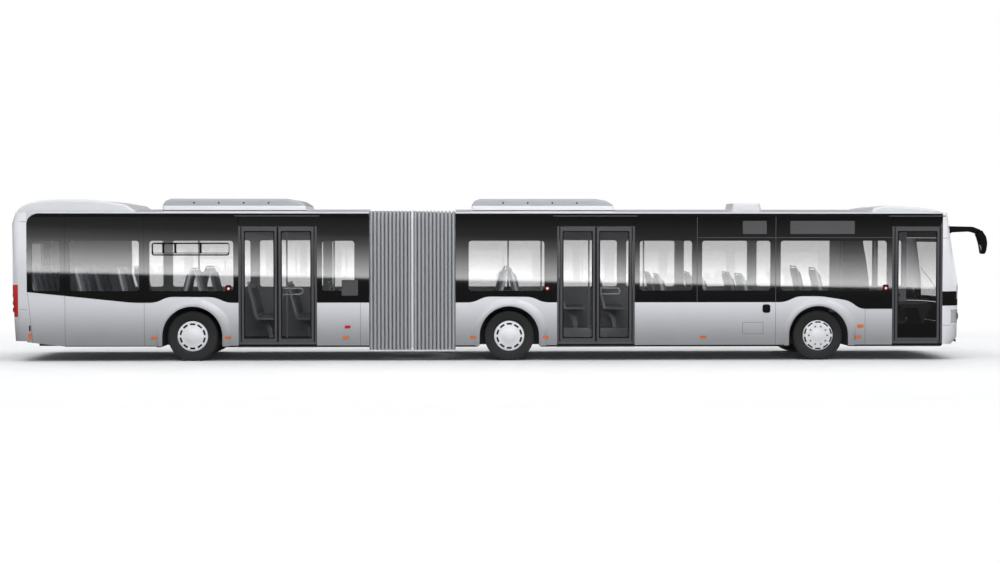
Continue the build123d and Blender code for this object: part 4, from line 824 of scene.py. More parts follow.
@dataclass(frozen=True)
class Layout:
    """Main places of the bus, read from the CAD frame, in metres."""

    side_y: float
    front_car_x: float
    rear_car_x: float
    pivot_x: float
    cab_x: float
    nose_x: float
    tail_x: float
    tail_wall_x: float
    front_axle_x: float
    middle_axle_x: float
    rear_axle_x: float
    wheel_z: float
    glass_top: float
    doors: dict[str, Point]
    joints: dict[str, float]
    jamb: float = 0.048

    @classmethod
    def read(cls) -> "Layout":
        """Takes the places from the CAD nodes' boxes.

        Returns:
            The layout of this bus.
        """
        doors = {}
        for name in DOORS:
            low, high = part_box(f"{name}_leaf")
            doors[name] = (low[0], high[0])
        front_axle_x, rear_axle_x = middle_of("front_tyre_left"), middle_of("rear_tyres_left")
        joints = {name: front_axle_x + away for name, away in FRONT_JOINTS.items()}
        joints |= {name: rear_axle_x + away for name, away in REAR_JOINTS.items()}
        return cls(
            side_y=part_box("front_glass")[1][1],
            front_car_x=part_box("front_floor")[0][0],
            rear_car_x=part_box("rear_floor")[1][0],
            pivot_x=middle_of("bellows_frame"),
            cab_x=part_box("front_walls")[1][0],
            nose_x=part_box("front_panels")[1][0],
            tail_x=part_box("tail_panel")[0][0],
            tail_wall_x=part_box("rear_walls")[0][0],
            front_axle_x=front_axle_x,
            middle_axle_x=middle_of("middle_tyres_left"),
            rear_axle_x=rear_axle_x,
            wheel_z=middle_of("front_tyre_left", 2),
            glass_top=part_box("front_glass")[1][2],
            doors=doors,
            joints=joints,
        )

    def doorway(self, number: int) -> Point:
        """Limits of a doorway between its jambs' outer edges."""
        spans = [span for name, span in self.doors.items() if name.startswith(f"door_{number}")]
        return min(s[0] for s in spans) - self.jamb, max(s[1] for s in spans) + self.jamb


@dataclass
class Glazing:
    """The dark glass band: bonded panes with black borders and clear middles."""

    layout: Layout
    belt: float = 1.105
    hump: float = 1.217
    nose_belt: float = 0.975
    tail_belt: float = 1.310
    gap: float = 0.003
    window_low: float = 1.330
    window_top: float = 2.275
    corner: float = 0.014
    pillar: float = 0.095
    slim: float = 0.060
    gangway_front: float = 0.25
    gangway_rear: float = 0.28
    door_pillar: float = 0.24
    joint_z: float = 2.338
    thick: float = 0.008
    tail_border: float = 0.07
    tail_margin: float = 0.02

    def hump_line(self, axle_x: float) -> list[Point]:
        """The band's edge over a driven wheel."""
        return [
            (axle_x - 0.680, self.belt), (axle_x - 0.465, self.hump),
            (axle_x + 0.430, self.hump - 0.006), (axle_x + 0.640, self.belt),
        ]

    def front_belt(self) -> list[Point]:
        """Lower edge of the front car's band."""
        at, axle = self.layout, self.layout.front_axle_x
        return eased([
            (at.front_car_x, self.belt), *self.hump_line(at.middle_axle_x),
            (axle - 0.637, self.belt), (axle - 0.413, self.hump), (axle + 0.060, self.hump),
            (axle + 0.590, self.hump - 0.085), (axle + 0.790, self.nose_belt), (at.cab_x, self.nose_belt),
        ])

    def rear_belt(self) -> list[Point]:
        """Lower edge of the rear car's band."""
        at = self.layout
        return eased([
            (at.tail_wall_x, self.tail_belt), (at.rear_axle_x - 1.120, self.belt),
            *self.hump_line(at.rear_axle_x), (at.rear_car_x, self.belt),
        ])

    def outline(self, belt: Sequence[Point], x: Point, low: float, top: float) -> list[Point]:
        """Outline of one pane inside its gaps.

        Args:
            belt: Lower edge of the band.
            x: Ends of the pane.
            low: Level of a straight lower edge, or 0 where it follows the belt.
            top: Level of the upper edge.

        Returns:
            Points along the bus and up.
        """
        x1, x2 = x[0] + self.gap / 2, x[1] - self.gap / 2
        if low:
            return [(x1, low), (x2, low), (x2, top), (x1, top)]
        between = [p for p in belt if x1 + self.gap / 2 < p[0] < x2 - self.gap / 2]
        edge = [(x1, level_at(belt, x1)), *between, (x2, level_at(belt, x2))]
        return [(px, pz + self.gap) for px, pz in edge] + [(x2, top), (x1, top)]

    def pane(self, shape: Shape, outline: Sequence[Point], side: int, clear: Point | None) -> None:
        """Adds one pane: a black border and its clear middle.

        Args:
            shape: Where the faces go.
            outline: The pane's edge.
            side: LEFT or RIGHT.
            clear: Ends of the clear middle, or None for a black pane.
        """
        faces = (side * self.layout.side_y, side * (self.layout.side_y - self.thick))
        if clear is None:
            shape.prism(outline, faces, FRIT)
            return
        hole = round_rect(clear, (self.window_low, self.window_top), self.corner)
        shape.prism(outline, faces, FRIT, [hole])
        shape.prism(hole, faces, CLEAR)

    def chain(self, body: str, side: int) -> list[float]:
        """Places where one pane or doorway of a side meets the next.

        Args:
            body: Which car.
            side: LEFT or RIGHT.

        Returns:
            Places from the back to the front.
        """
        at, joint = self.layout, self.layout.joints
        if body == REAR:
            return [at.tail_wall_x, joint["tail"], joint["rear"], *at.doorway(3), at.rear_car_x]
        start = [at.front_car_x, *at.doorway(2), joint["first"], joint["second"]]
        left = [joint["cab"], joint["quarter"], at.cab_x]
        return start + (left if side == LEFT else [at.doorway(1)[0]])

    def clear(self, ends: Point, side: int) -> Point | None:
        """Ends of a pane's clear middle.

        Args:
            ends: Ends of the pane.
            side: LEFT or RIGHT.

        Returns:
            The two places, or None for the black pane beside the engine.
        """
        at = self.layout
        if side == LEFT and ends[0] == at.tail_wall_x:
            return None
        insets = {at.front_car_x: self.gangway_front, at.rear_car_x: self.gangway_rear}
        insets[at.joints["quarter"]] = self.slim
        if side == RIGHT:
            insets[at.doorway(2)[0]] = self.door_pillar
        return ends[0] + insets.get(ends[0], self.pillar), ends[1] - insets.get(ends[1], self.pillar)

    def add(self, shape: Shape, belt: Sequence[Point], ends: Point, side: int) -> None:
        """Adds the pane between two places, with a sign pane over it where signs hang.

        Args:
            shape: Where the faces go.
            belt: Lower edge of the band.
            ends: Ends of the pane.
            side: LEFT or RIGHT.
        """
        at = self.layout
        signs = side == RIGHT and ends[0] in (at.joints["first"], at.joints["second"])
        top = self.joint_z - self.gap if signs else at.glass_top
        self.pane(shape, self.outline(belt, ends, 0.0, top), side, self.clear(ends, side))
        if signs:
            self.pane(shape, self.outline(belt, ends, self.joint_z, at.glass_top), side, None)

    def build(self) -> None:
        """Makes the panes of both cars."""
        rows = (
            (FRONT, "front_glass", [FRIT, CLEAR], self.front_belt(), self.layout.doorway(2)),
            (REAR, "rear_glass", [FRIT, CLEAR, TAIL_PANE], self.rear_belt(), self.layout.doorway(3)),
        )
        for body, node, finishes, belt, doorway in rows:
            shape = Shape()
            for side in (RIGHT, LEFT):
                chain = self.chain(body, side)
                for ends in zip(chain, chain[1:]):
                    if side == LEFT or ends != doorway:
                        self.add(shape, belt, ends, side)
            if body == REAR:
                self.rear_window(shape)
            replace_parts(shape.build(f"{body}_panes", finishes, body, "dark_glass", angle=20.0), node)

    def rear_window(self, shape: Shape) -> None:
        """Adds the window in the tail, cut from the CAD pane, with a black border.

        Args:
            shape: Where the faces go.
        """
        bm, border = merged("rear_glass"), self.tail_border
        front = self.layout.tail_wall_x - self.tail_margin
        away = [f for f in bm.faces if f.calc_center_median().x > front]
        bmesh.ops.delete(bm, geom=away, context="FACES")
        low, high = corners([v.co.copy() for v in bm.verts if v.link_faces])
        for axis in (1, 2):
            for level in (low[axis] + border, high[axis] - border):
                split(bm, axis, level)
        for face in bm.faces:
            middle = face.calc_center_median()
            inside = all(low[i] + border < middle[i] < high[i] - border for i in (1, 2))
            spots = [v.co.copy() for v in face.verts]
            shape.put(spots, [list(range(len(spots)))], TAIL_PANE if inside else FRIT)
        bm.free()


@dataclass
class Shells:
    """Painted bodywork: walls, roofs, nose, tail and roof covers."""

    layout: Layout
    cove_top: float = 2.800
    flange_top: float = 2.945
    screen_low: float = 1.150
    screen_top: float = 2.245
    screen_half: float = 1.165
    lamp_top: float = 1.310
    header_z: float = 2.0
    header_top: float = 2.735
    lintel_z: float = 2.55
    post_w: float = 0.06
    sill_z: float = 1.3
    skin: float = 0.002
    nose_wall: float = 0.05
    nose_inner: Point = (1.2, 1.21)
    pod_length: Point = (2.6, 3.0)
    cover_angle: float = 40.0

    def wall(self, face: Facet) -> Finish:
        """Chooses silver, a black recess, lining, a door post or a lintel for a wall.

        Args:
            face: The wall's face.

        Returns:
            Its finish.
        """
        outside = abs(face.middle.y) > self.layout.side_y - self.skin
        if face.low.z > self.header_z:
            return FRIT
        if face.high.x - face.low.x < self.post_w:
            return DOOR_GREY
        if face.low.x > self.layout.doorway(1)[0]:
            return FRIT if face.middle.z > self.lintel_z else DOOR_GREY
        if abs(face.normal.y) > 0.5 and face.normal.y * face.middle.y > 0:
            return SILVER if outside else BLACK
        if abs(face.normal.y) > 0.5:
            return LINING
        return SILVER if outside and face.middle.z < self.sill_z else BLACK

    def roof(self, face: Facet) -> Finish:
        """Chooses silver, the black cove or lining for a roof.

        Args:
            face: The roof's face.

        Returns:
            Its finish.
        """
        upright = abs(face.normal.y) > 0.8
        if face.normal.z < -0.2 or (abs(face.middle.y) < self.layout.side_y - 0.01 and upright):
            return LINING
        return BLACK if upright and face.middle.z < self.cove_top else SILVER_TOP

    def nose(self, face: Facet) -> Finish:
        """Chooses the lighter nose silver, which is painted light, black over the windscreen or dark inside for
        the nose.

        Args:
            face: The nose's face.

        Returns:
            Its finish.
        """
        middle, normal, away = face.middle, face.normal, abs(face.middle.y)
        behind = normal.x < -0.5 and middle.x < self.layout.nose_x - self.nose_wall
        inward = abs(normal.y) > 0.6 and normal.y * middle.y < 0
        if (behind and away < self.nose_inner[0]) or (inward and away < self.nose_inner[1]):
            return CAB
        header = face.low.z > self.header_z and away < self.screen_half
        return FRIT if header and normal.z < 0.5 and middle.z < self.header_top else SILVER_NOSE_LIT

    def screen(self, face: Facet) -> Finish:
        """Chooses clear glass, the black border or a pillar in the lighter nose silver, which is painted light,
        for the windscreen.

        Args:
            face: The windscreen's face.

        Returns:
            Its finish.
        """
        pillar = abs(face.middle.y) > self.screen_half
        if pillar and face.middle.z > self.lamp_top:
            return SILVER_NOSE_LIT
        return FRIT if pillar or not self.screen_low < face.middle.z < self.screen_top else SCREEN

    def tail(self, face: Facet) -> Finish:
        """Finish of the tail: silver outside, dark inside."""
        return BLACK if face.normal.x > 0.4 else SILVER

    def cover(self, face: Facet) -> Finish:
        """Chooses the cowl, or white with a darker grey upper part, painted shade, on a long pod, for a roof
        cover.

        Args:
            face: The cover's face.

        Returns:
            Its finish.
        """
        shortest, longest = self.pod_length
        if not shortest < face.high.x - face.low.x < longest:
            return COWL
        # The pod's upper sides get the darker grey: painted shade.
        return POD_SHADED if face.middle.z > self.flange_top and face.normal.z < 0.9 else WHITE

    def build(self) -> None:
        """Dresses the bodywork nodes."""
        paints = [WHITE, POD_SHADED, COWL]
        for body in (FRONT, REAR):
            car = body.split("_")[0]
            dress(f"{car}_walls", [SILVER, BLACK, LINING, DOOR_GREY, FRIT], body, self.wall)
            dress(f"{car}_roof", [SILVER_TOP, BLACK, LINING], body, self.roof)
            cuts = [(2, self.flange_top)]
            dress(f"{car}_roof_covers", paints, body, self.cover, cuts, self.cover_angle)
            paint(f"{car}_floor", FLOORING)
        pillars = [(1, self.screen_half), (1, -self.screen_half)]
        cuts = [(2, self.header_top), *pillars]
        dress("front_panels", [SILVER_NOSE_LIT, FRIT, CAB], FRONT, self.nose, cuts)
        dress("tail_panel", [SILVER, BLACK], REAR, self.tail)
        dress("engine_flap", [SILVER, BLACK], "engine_lid", self.tail)
        cuts = [(2, self.screen_low), (2, self.screen_top), (2, self.lamp_top), *pillars]
        dress("windscreen", [SCREEN, FRIT, SILVER_NOSE_LIT], FRONT, self.screen, cuts)
        dress("headlamps", [LAMP], FRONT)
        dress("tail_lamps", [RED], REAR)
        paint("front_wheelhouses", FLOORING)
        paint("driver_cab", CAB)
        running_gear = ("front_axle", "middle_axle", "rear_axle", "knuckle_left", "knuckle_right")
        for node in ("tow_socket", "turntable_rear", *running_gear):
            paint(node, CHASSIS)
        paint("turntable_front", STEEL)
        paint("engine", IRON)


@dataclass
class Bellows:
    """Folded cloth round the gangway, held at its middle by a hoop."""

    layout: Layout
    folds: int = 11
    depth: float = 0.082
    out_y: float = 1.258
    low_z: float = 0.208
    top_z: float = 2.850
    side_levels: Spot = (0.8, 1.4, 2.0)
    corner: float = 0.190
    corner_steps: int = 8
    hoop: float = 0.040
    steps: int = 10
    crest: float = 0.55
    end_wave: float = 0.8
    blend_z: float = 1.5

    def section(self, inset: float) -> list[Point]:
        """The sheet's line round the gangway.

        Args:
            inset: How far the line is drawn in.

        Returns:
            Points across and up, from the right foot over the roof to the left one.
        """
        half, top, radius = self.out_y - inset, self.top_z - inset, self.corner - inset
        upright = [(half, z) for z in (self.low_z, *self.side_levels)]
        points = [(-y, z) for y, z in upright]
        for side, start in ((-1, math.pi), (1, math.pi / 2)):
            for step in range(self.corner_steps + 1):
                turn = start - math.pi / 2 * step / self.corner_steps
                y = side * (half - radius) + radius * math.cos(turn)
                points.append((y, top - radius + radius * math.sin(turn)))
        return points + upright[::-1]

    def build(self) -> None:
        """Makes the folded sheet and dresses the hoop."""
        at, count = self.layout, self.folds * self.steps
        back, ahead = about(at.pivot_x, self.hoop / 2)
        shape = Shape()
        for x1, x2 in ((at.rear_car_x, back), (ahead, at.front_car_x)):
            verts = []
            for step in range(count + 1):
                wave = abs(math.sin(math.pi * step / self.steps)) ** self.crest
                if step in (0, count):
                    wave = self.end_wave
                line = self.section(self.depth * (1 - wave))
                verts += [(x1 + (x2 - x1) * step / count, y, z) for y, z in line]
            size = len(verts) // (count + 1)
            shape.put(verts, grid_faces(count, size, range(size - 1)), FOLD)
        cloth = shape.build("bellows_folds", [FOLD], "", "bellows_cloth", angle=60.0)
        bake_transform(cloth)
        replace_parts(cloth, "bellows_front", "bellows_rear")
        dress("bellows_frame", [HOOP], "bellows_hoop")


@dataclass
class Wheels:
    """Tyres with grooves and rims with slotted trims."""

    layout: Layout
    tyre_r: float = 0.470
    tyre_w: float = 0.275
    tyre_sides: int = 96
    seat_r: float = 0.2866
    groove: float = 0.012
    cap_r: float = 0.278
    cap_off: float = 0.004
    slots: int = 10
    slot_steps: int = 12
    slot_open: tuple[int, int] = (2, 10)
    slot_depth: float = 0.016
    slot_rows: tuple[Point, Point] = ((0.240, 0.268), (0.212, 0.248))
    hubs: Point = (0.020, 0.030)
    nut_count: int = 10
    nut_ring: float = 0.176
    nut_r: float = 0.018
    nut_depth: float = 0.030
    nut_off: float = 0.016

    def tyre(self, shape: Shape, centre: Vector) -> None:
        """Adds one tyre with four grooves and rounded shoulders.

        Args:
            shape: Where the faces go.
            centre: Middle of the tyre.
        """
        half, r, floor = self.tyre_w / 2, self.tyre_r, self.tyre_r - self.groove
        side = [
            (self.seat_r, 0.80 * half), (self.seat_r + 0.012, 0.92 * half), (0.330, 0.985 * half),
            (0.345, half), (0.385, half), (0.400, 0.985 * half), (0.432, 0.955 * half),
            (0.455, 0.90 * half), (r - 0.006, 0.84 * half),
        ]
        tread = [(r, 0.80 * half)]
        for place in (0.56, 0.19, -0.19, -0.56):
            tread += [(r, (place + 0.04) * half), (floor, (place + 0.03) * half)]
            tread += [(floor, (place - 0.03) * half), (r, (place - 0.04) * half)]
        tread += [(r, -0.80 * half)]
        profile = side + tread + [(radius, -along) for radius, along in reversed(side)]
        shape.lathe(centre, [*profile, profile[0]], self.tyre_sides, TYRE)

    def cap(self, shape: Shape, centre: Vector, side: int, front: bool) -> None:
        """Adds a wheel trim: a dished disc with dark slots.

        Args:
            shape: Where the faces go.
            centre: Middle of the trim's plane.
            side: LEFT or RIGHT.
            front: True for the flatter trim of a steered wheel.
        """
        number = 0 if front else 1
        hub, (slot_low, slot_high) = self.hubs[number], self.slot_rows[number]
        stations = [
            (self.cap_r, -0.012), (self.cap_r - 0.004, 0.008), (slot_high, 0.012), (slot_high - 0.010, 0.012),
            (slot_low + 0.010, 0.012), (slot_low, 0.012), (slot_low - 0.020, 0.015), (0.150, 0.018),
            (0.118, hub), (0.090, hub + 0.010), (0.050, hub + 0.014), (0.012, hub + 0.015),
            (0.001, hub + 0.015),
        ]
        around, (start, end) = self.slots * self.slot_steps, self.slot_open
        verts, marks = [], []
        for radius, out in stations:
            sunk = slot_low < radius < slot_high
            for step, (a, b) in enumerate(circle(around, radius)):
                depth = -self.slot_depth if sunk and start < step % self.slot_steps < end else out
                verts.append(centre + Vector((a, side * depth, b)))
        for (outer, _), (inner, _) in zip(stations, stations[1:]):
            slotted = slot_low <= inner and outer <= slot_high
            for step in range(around):
                dark = slotted and start <= step % self.slot_steps < end
                marks.append(SLOT_DARK if dark else RIM)
        shape.put(verts, ring_faces(len(stations) - 1, around), marks)

    def build(self) -> None:
        """Makes tyres and trims of all wheels."""
        at = self.layout
        rows = (
            ("front_tyre", "front_rim", "front_wheel", at.front_axle_x),
            ("middle_tyres", "middle_rim", "middle_wheels", at.middle_axle_x),
            ("rear_tyres", "rear_rim", "rear_wheels", at.rear_axle_x),
        )
        for tyres, rim, wheel, axle_x in rows:
            for side, place in SIDES:
                hub = Vector((axle_x, 0.0, at.wheel_z))
                self.wheel(f"{tyres}_{place}", f"{rim}_{place}", f"{wheel}_{place}", hub, side)

    def wheel(self, tyres: str, rim: str, body: str, hub: Vector, side: int) -> None:
        """Makes the tyres, the trim and the nuts of one wheel or pair of wheels.

        Args:
            tyres: CAD node of the tyres.
            rim: CAD node of the rim.
            body: CAD body of the wheel.
            hub: Point of the axle under the middle of the bus.
            side: LEFT or RIGHT.
        """
        front, across = tyres.startswith("front"), Vector((0.0, side, 0.0))
        inner, outer = sorted(abs(corner[1]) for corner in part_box(tyres))
        shape, half = Shape(), self.tyre_w / 2
        for away in [outer - half] if front else [outer - half, inner + half]:
            self.tyre(shape, hub + across * away)
        obj = shape.build(f"{tyres}_tread", [TYRE], body, "tyre_rubber", angle=40.0)
        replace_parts(obj, tyres)
        dress(rim, [RIM], body)
        face = max(abs(corner[1]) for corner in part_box(rim))
        trim = Shape()
        self.cap(trim, hub + across * (face + self.cap_off), side, front)
        trim.build(f"{rim}_trim", [RIM, SLOT_DARK], body, "rim_silver")
        if front:
            tree = bpy.data.node_groups.get("nut_ring") or nut_nodes()
            values = {
                "Count": self.nut_count, "Ring": self.nut_ring, "Radius": self.nut_r,
                "Depth": self.nut_depth, "Finish": NUT.material(),
            }
            spot = Matrix.Translation(hub + across * (face + self.nut_off))
            upright = Matrix.Rotation(math.pi / 2, 4, "X")
            spread(f"{rim}_nuts", tree, values, spot @ upright, body, "rim_silver")


@dataclass
class Doors:
    """Door leaves, their glass, seals, rails and gear."""

    layout: Layout
    seal: float = 0.006
    seal_lap: float = 0.014
    seal_corners: Point = (0.012, 0.03)
    edge_strip: Point = (0.012, 0.003)
    edge_short: float = 0.035
    leaf_wall: float = 0.040
    rail_r: float = 0.013
    rail_length: float = 0.300
    rail_z: float = 1.318
    rail_half: float = 0.058
    rail_off: float = 0.055
    rail_root: float = 0.004
    rail_start: float = 0.04
    rail_steps: int = 8
    kick_top: float = 0.700

    def build(self) -> None:
        """Dresses each door and adds its seals, rail and kick plate."""
        for name in self.layout.doors:
            body = f"{name}_panel"
            dress(f"{name}_leaf", [DOOR_GREY], body)
            dress(f"{name}_glass", [CLEAR], body)
            paint(f"{name}_arms", STEEL)
            self.fittings(name, body)

    def hairpin(self, x: float, y: float) -> list[Spot]:
        """Path of the grab rail: out of the leaf, along, round a bend and back.

        Args:
            x: Place of its two roots along the bus.
            y: The leaf's inner face.

        Returns:
            Points of its middle line.
        """
        out, end, half = y + self.rail_off, x + self.rail_length, self.rail_half
        bend = []
        for step in range(self.rail_steps + 1):
            turn = math.pi * (step / self.rail_steps - 0.5)
            bend.append((end + half * math.cos(turn), out, self.rail_z + half * math.sin(turn)))
        low, high = ([(x, y - self.rail_root, z), (x, out, z)] for z in about(self.rail_z, half))
        return [*low, *bend, *reversed(high)]

    def fittings(self, name: str, body: str) -> None:
        """Adds what is fixed to one leaf.

        Args:
            name: Name of the door.
            body: CAD body of its leaf.
        """
        low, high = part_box(f"{name}_leaf")
        glass_low, glass_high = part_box(f"{name}_glass")
        out_y, shape = glass_low[1], Shape()
        z = (low[2] + self.edge_short, high[2] - self.edge_short)
        inside, outside = self.edge_strip
        for edge, way in ((low[0], -1), (high[0], 1)):
            x = sorted((edge - way * inside, edge + way * outside))
            shape.box(x, (out_y - 0.0012, out_y + 0.036), z, BLACK)
        pane = (glass_low[0], glass_high[0]), (glass_low[2], glass_high[2])
        border = [(a - self.seal, b + self.seal) for a, b in pane]
        inner = [(a + self.seal_lap, b - self.seal_lap) for a, b in pane]
        outer_r, inner_r = self.seal_corners
        hole = round_rect(*inner, inner_r)
        shape.prism(round_rect(*border, outer_r), (out_y - 0.0015, out_y + 0.001), BLACK, [hole])
        if name == "door_1":
            shape.box(inner[0], (out_y - 0.001, out_y + 0.010), (glass_low[2], self.kick_top), BLACK)
        if name.endswith("front"):
            path = self.hairpin(glass_low[0] + self.rail_start, low[1] + self.leaf_wall)
            shape.tube(path, self.rail_r, 12, RAIL)
        shape.build(f"{name}_fittings", [BLACK, RAIL], body, "door_frame", angle=50.0)


@dataclass
class Arches:
    """Wide rounded lips round the wheel arches."""

    layout: Layout
    arch_r: float = 0.565
    skirt_z: float = 0.284
    proud: float = 0.0145
    steps: int = 40
    # Part of the turn from the back to the front, and the lip's width there
    widths: tuple[Point, ...] = (
        (-0.3, 0.090), (0.0, 0.095), (0.3, 0.125), (0.5, 0.145),
        (0.68, 0.170), (0.82, 0.195), (1.0, 0.165), (1.3, 0.130),
    )

    def line(self, axle_x: float) -> list[tuple[Vector, Vector, float]]:
        """Points along an arch's edge.

        Args:
            axle_x: Place of the wheel.

        Returns:
            Each point, the way out of the arch there and the part of the turn.
        """
        low = self.skirt_z - self.layout.wheel_z
        rows = [(Vector((-self.arch_r, 0, low)), Vector((-1, 0, 0)), -0.25)]
        for step in range(self.steps + 1):
            turn = math.pi * (1 - step / self.steps)
            way = Vector((math.cos(turn), 0, math.sin(turn)))
            rows.append((self.arch_r * way, way, step / self.steps))
        rows.append((Vector((self.arch_r, 0, low)), Vector((1, 0, 0)), 1.25))
        middle = Vector((axle_x, 0, self.layout.wheel_z))
        return [(middle + spot, way, part) for spot, way, part in rows]

    def build(self) -> None:
        """Makes the lips of all six arches."""
        at = self.layout
        for body, axles in ((FRONT, (at.middle_axle_x, at.front_axle_x)), (REAR, (at.rear_axle_x,))):
            shape = Shape()
            for axle_x in axles:
                for side, _ in SIDES:
                    self.lip(shape, axle_x, side)
            shape.build(f"{body}_arch_lips", [SILVER, BLACK], body, "silver_paint", angle=70.0)

    def lip(self, shape: Shape, axle_x: float, side: int) -> None:
        """Adds one lip.

        Args:
            shape: Where the faces go.
            axle_x: Place of the wheel.
            side: LEFT or RIGHT.
        """
        verts, line = [], self.line(axle_x)
        for spot, way, part in line:
            width = level_at(self.widths, part)
            section = [
                (0.0, -0.058), (0.0, self.proud - 0.006), (0.006, self.proud), (0.05, self.proud),
                (0.076, self.proud - 0.0015), (0.55 * (0.076 + width), 0.0095),
                (0.82 * width, 0.0045), (width, 0.0004),
            ]
            for out, rise in section:
                point = spot + way * out
                point.y = side * (self.layout.side_y + rise)
                verts.append(point)
        rows, size = len(line) - 1, len(verts) // len(line)
        shape.put(verts, grid_faces(rows, size, [0]), BLACK)
        shape.put(verts, grid_faces(rows, size, range(1, size - 1)), SILVER)


@dataclass(frozen=True)
class Plate:
    """A small plate on a side: limits, corner radius, depths off the side's face and finish."""

    x: Point
    z: Point
    corner: float
    depth: Point
    finish: Finish


@dataclass
class SideTrim:
    """Joints, lamps, flaps, buttons, signs and strips on the sides."""

    layout: Layout
    glazing: Glazing
    skirt_z: float = 0.282
    strip_tops: Point = (0.012, 0.034)
    arch: float = 0.640
    joint: float = 0.006
    joint_depth: Point = (-0.01, 0.0008)
    pane_joint: float = 0.009
    pane_joint_depth: Point = (-0.006, 0.0006)
    rear_joint: float = 0.167
    marker: Point = (0.112, 0.044)
    marker_z: float = 0.444
    cove: Spot = (2.803, 0.330, 0.230)
    cove_steps: int = 8
    oblique: tuple[Point, Point] = ((0.014, 1.300), (0.108, 0.345))
    seams: Point = (0.985, 2.638)
    gutter_z: Point = (2.739, 2.753)
    button_z: float = 1.372
    filler: Point = (-1.000, 0.984)
    flap_x: Point = (-1.455, -1.055)
    flap_z: Point = (0.500, 0.726)
    sign_x: tuple[Point, Point] = ((-0.634, -0.177), (0.275, 1.508))
    sign_z: Point = (2.406, 2.653)
    vent_x: Point = (-0.755, 0.705)
    vent_z: Point = (1.997, 2.242)
    vent_parts: tuple[float, ...] = (0.0, 0.145, 0.30, 0.625, 1.0)
    vent_rail: float = 0.026
    vent_foot: float = 0.055

    def build(self) -> None:
        """Adds the trim of both cars."""
        for body in (FRONT, REAR):
            shape = Shape()
            for side, _ in SIDES:
                self.joints(shape, body, side)
                self.plates(shape, side, self.lamps(body))
                self.skirt(shape, body, side)
                if body == REAR:
                    self.corner(shape, side)
            self.door_side(shape, body)
            finishes = [JOINT, AMBER, BLACK, RED, SIGN, RUBBER, PLATE, SILVER_TOP, LINING, DOOR_GREY]
            shape.build(f"{body}_side_trim", finishes, body, "black_trim", angle=40.0)

    def face(self, side: int, low: float, high: float) -> Point:
        """Two depths off a side's outer face."""
        return (side * (self.layout.side_y + low), side * (self.layout.side_y + high))

    def plates(self, shape: Shape, side: int, rows: Sequence[Plate]) -> None:
        """Adds small plates to a side."""
        for row in rows:
            shape.prism(round_rect(row.x, row.z, row.corner), self.face(side, *row.depth), row.finish)

    def joints(self, shape: Shape, body: str, side: int) -> None:
        """Adds the upright joints of the lower panels.

        Args:
            shape: Where the faces go.
            body: Which car.
            side: LEFT or RIGHT.
        """
        at, joint = self.layout, self.layout.joints
        if body == FRONT:
            belt, places = self.glazing.front_belt(), [joint["second"], joint["cab"]]
            left = [*at.doorway(2), joint["first"]]
        else:
            belt, places = self.glazing.rear_belt(), [joint["tail"], joint["rear"]]
            places.append(at.rear_car_x - self.rear_joint)
            left = [*at.doorway(3)]
        for x in places + (left if side == LEFT else []):
            z = (self.skirt_z, level_at(belt, x))
            shape.box(about(x, self.joint / 2), self.face(side, *self.joint_depth), z, JOINT)
        if body == FRONT and side == RIGHT:
            self.pane_joints(shape, belt)

    def pane_joints(self, shape: Shape, belt: Sequence[Point]) -> None:
        """Adds the pale joints round the panes under the signs.

        Args:
            shape: Where the faces go.
            belt: Lower edge of the band.
        """
        at, half, depth = self.layout, self.pane_joint / 2, self.face(RIGHT, *self.pane_joint_depth)
        first, second = at.joints["first"], at.joints["second"]
        for x in (first, second):
            shape.box(about(x, half), depth, (level_at(belt, x), at.glass_top), JOINT)
        level = self.glazing.joint_z - self.glazing.gap / 2
        shape.box((first, at.doorway(1)[0]), depth, about(level, half), JOINT)

    def lamps(self, body: str) -> list[Plate]:
        """Lamps along the skirt of a car.

        Args:
            body: Which car.

        Returns:
            The amber markers and one larger lamp.
        """
        at = self.layout
        if body == FRONT:
            places = [*about(at.middle_axle_x, 0.690), at.front_axle_x - 2.213, at.front_axle_x + 0.755]
            x, z = about(at.front_axle_x + 0.805, 0.058), about(0.647, 0.030)
            large = Plate(x, z, 0.02, (-0.01, 0.012), AMBER)
        else:
            places = [at.rear_axle_x - 0.715, at.rear_axle_x + 0.668, at.rear_car_x - 0.446]
            x, z = about(at.rear_car_x - 0.408, 0.056), about(0.646, 0.028)
            large = Plate(x, z, 0.02, (-0.01, 0.010), RED)
        wide, high = self.marker
        z = about(self.marker_z, high / 2)
        return [*[Plate(about(x, wide / 2), z, 0.012, (-0.01, 0.017), AMBER) for x in places], large]

    def corner(self, shape: Shape, side: int) -> None:
        """Adds the rounded upper corner, the joints and the lamp behind the last window.

        Args:
            shape: Where the faces go.
            side: LEFT or RIGHT.
        """
        x, (top, wide, high), half = self.layout.tail_wall_x, self.cove, self.joint / 2
        parts = [step / self.cove_steps for step in range(self.cove_steps + 1)]
        curve = [(x + wide * (1 - part) ** 2, top - high * part**2) for part in parts]
        shape.prism([(x, top), *curve], self.face(side, -0.004, 0.0012), SILVER_TOP)
        (upper_x, upper_z), (lower_x, lower_z) = self.oblique
        line = [(x + upper_x - half, upper_z), (x + upper_x + half, upper_z)]
        line += [(x + lower_x + half, lower_z), (x + lower_x - half, lower_z)]
        shape.prism(line, self.face(side, -0.004, 0.0008), JOINT)
        for z in self.seams:
            shape.box((x - 0.12, x), self.face(side, -0.006, 0.0008), about(z, half), JOINT)
        lamp_x = x + 0.055
        shape.box(about(lamp_x, 0.026), self.face(side, -0.01, 0.006), (0.415, 0.530), AMBER)
        shape.box((lamp_x - 0.016, lamp_x + 0.012), self.face(side, -0.01, 0.003), (0.575, 0.680), BLACK)
        if side == LEFT:
            shape.box((x + 0.02, x + 1.47), self.face(side, -0.068, -0.062), (1.12, 2.72), LINING)

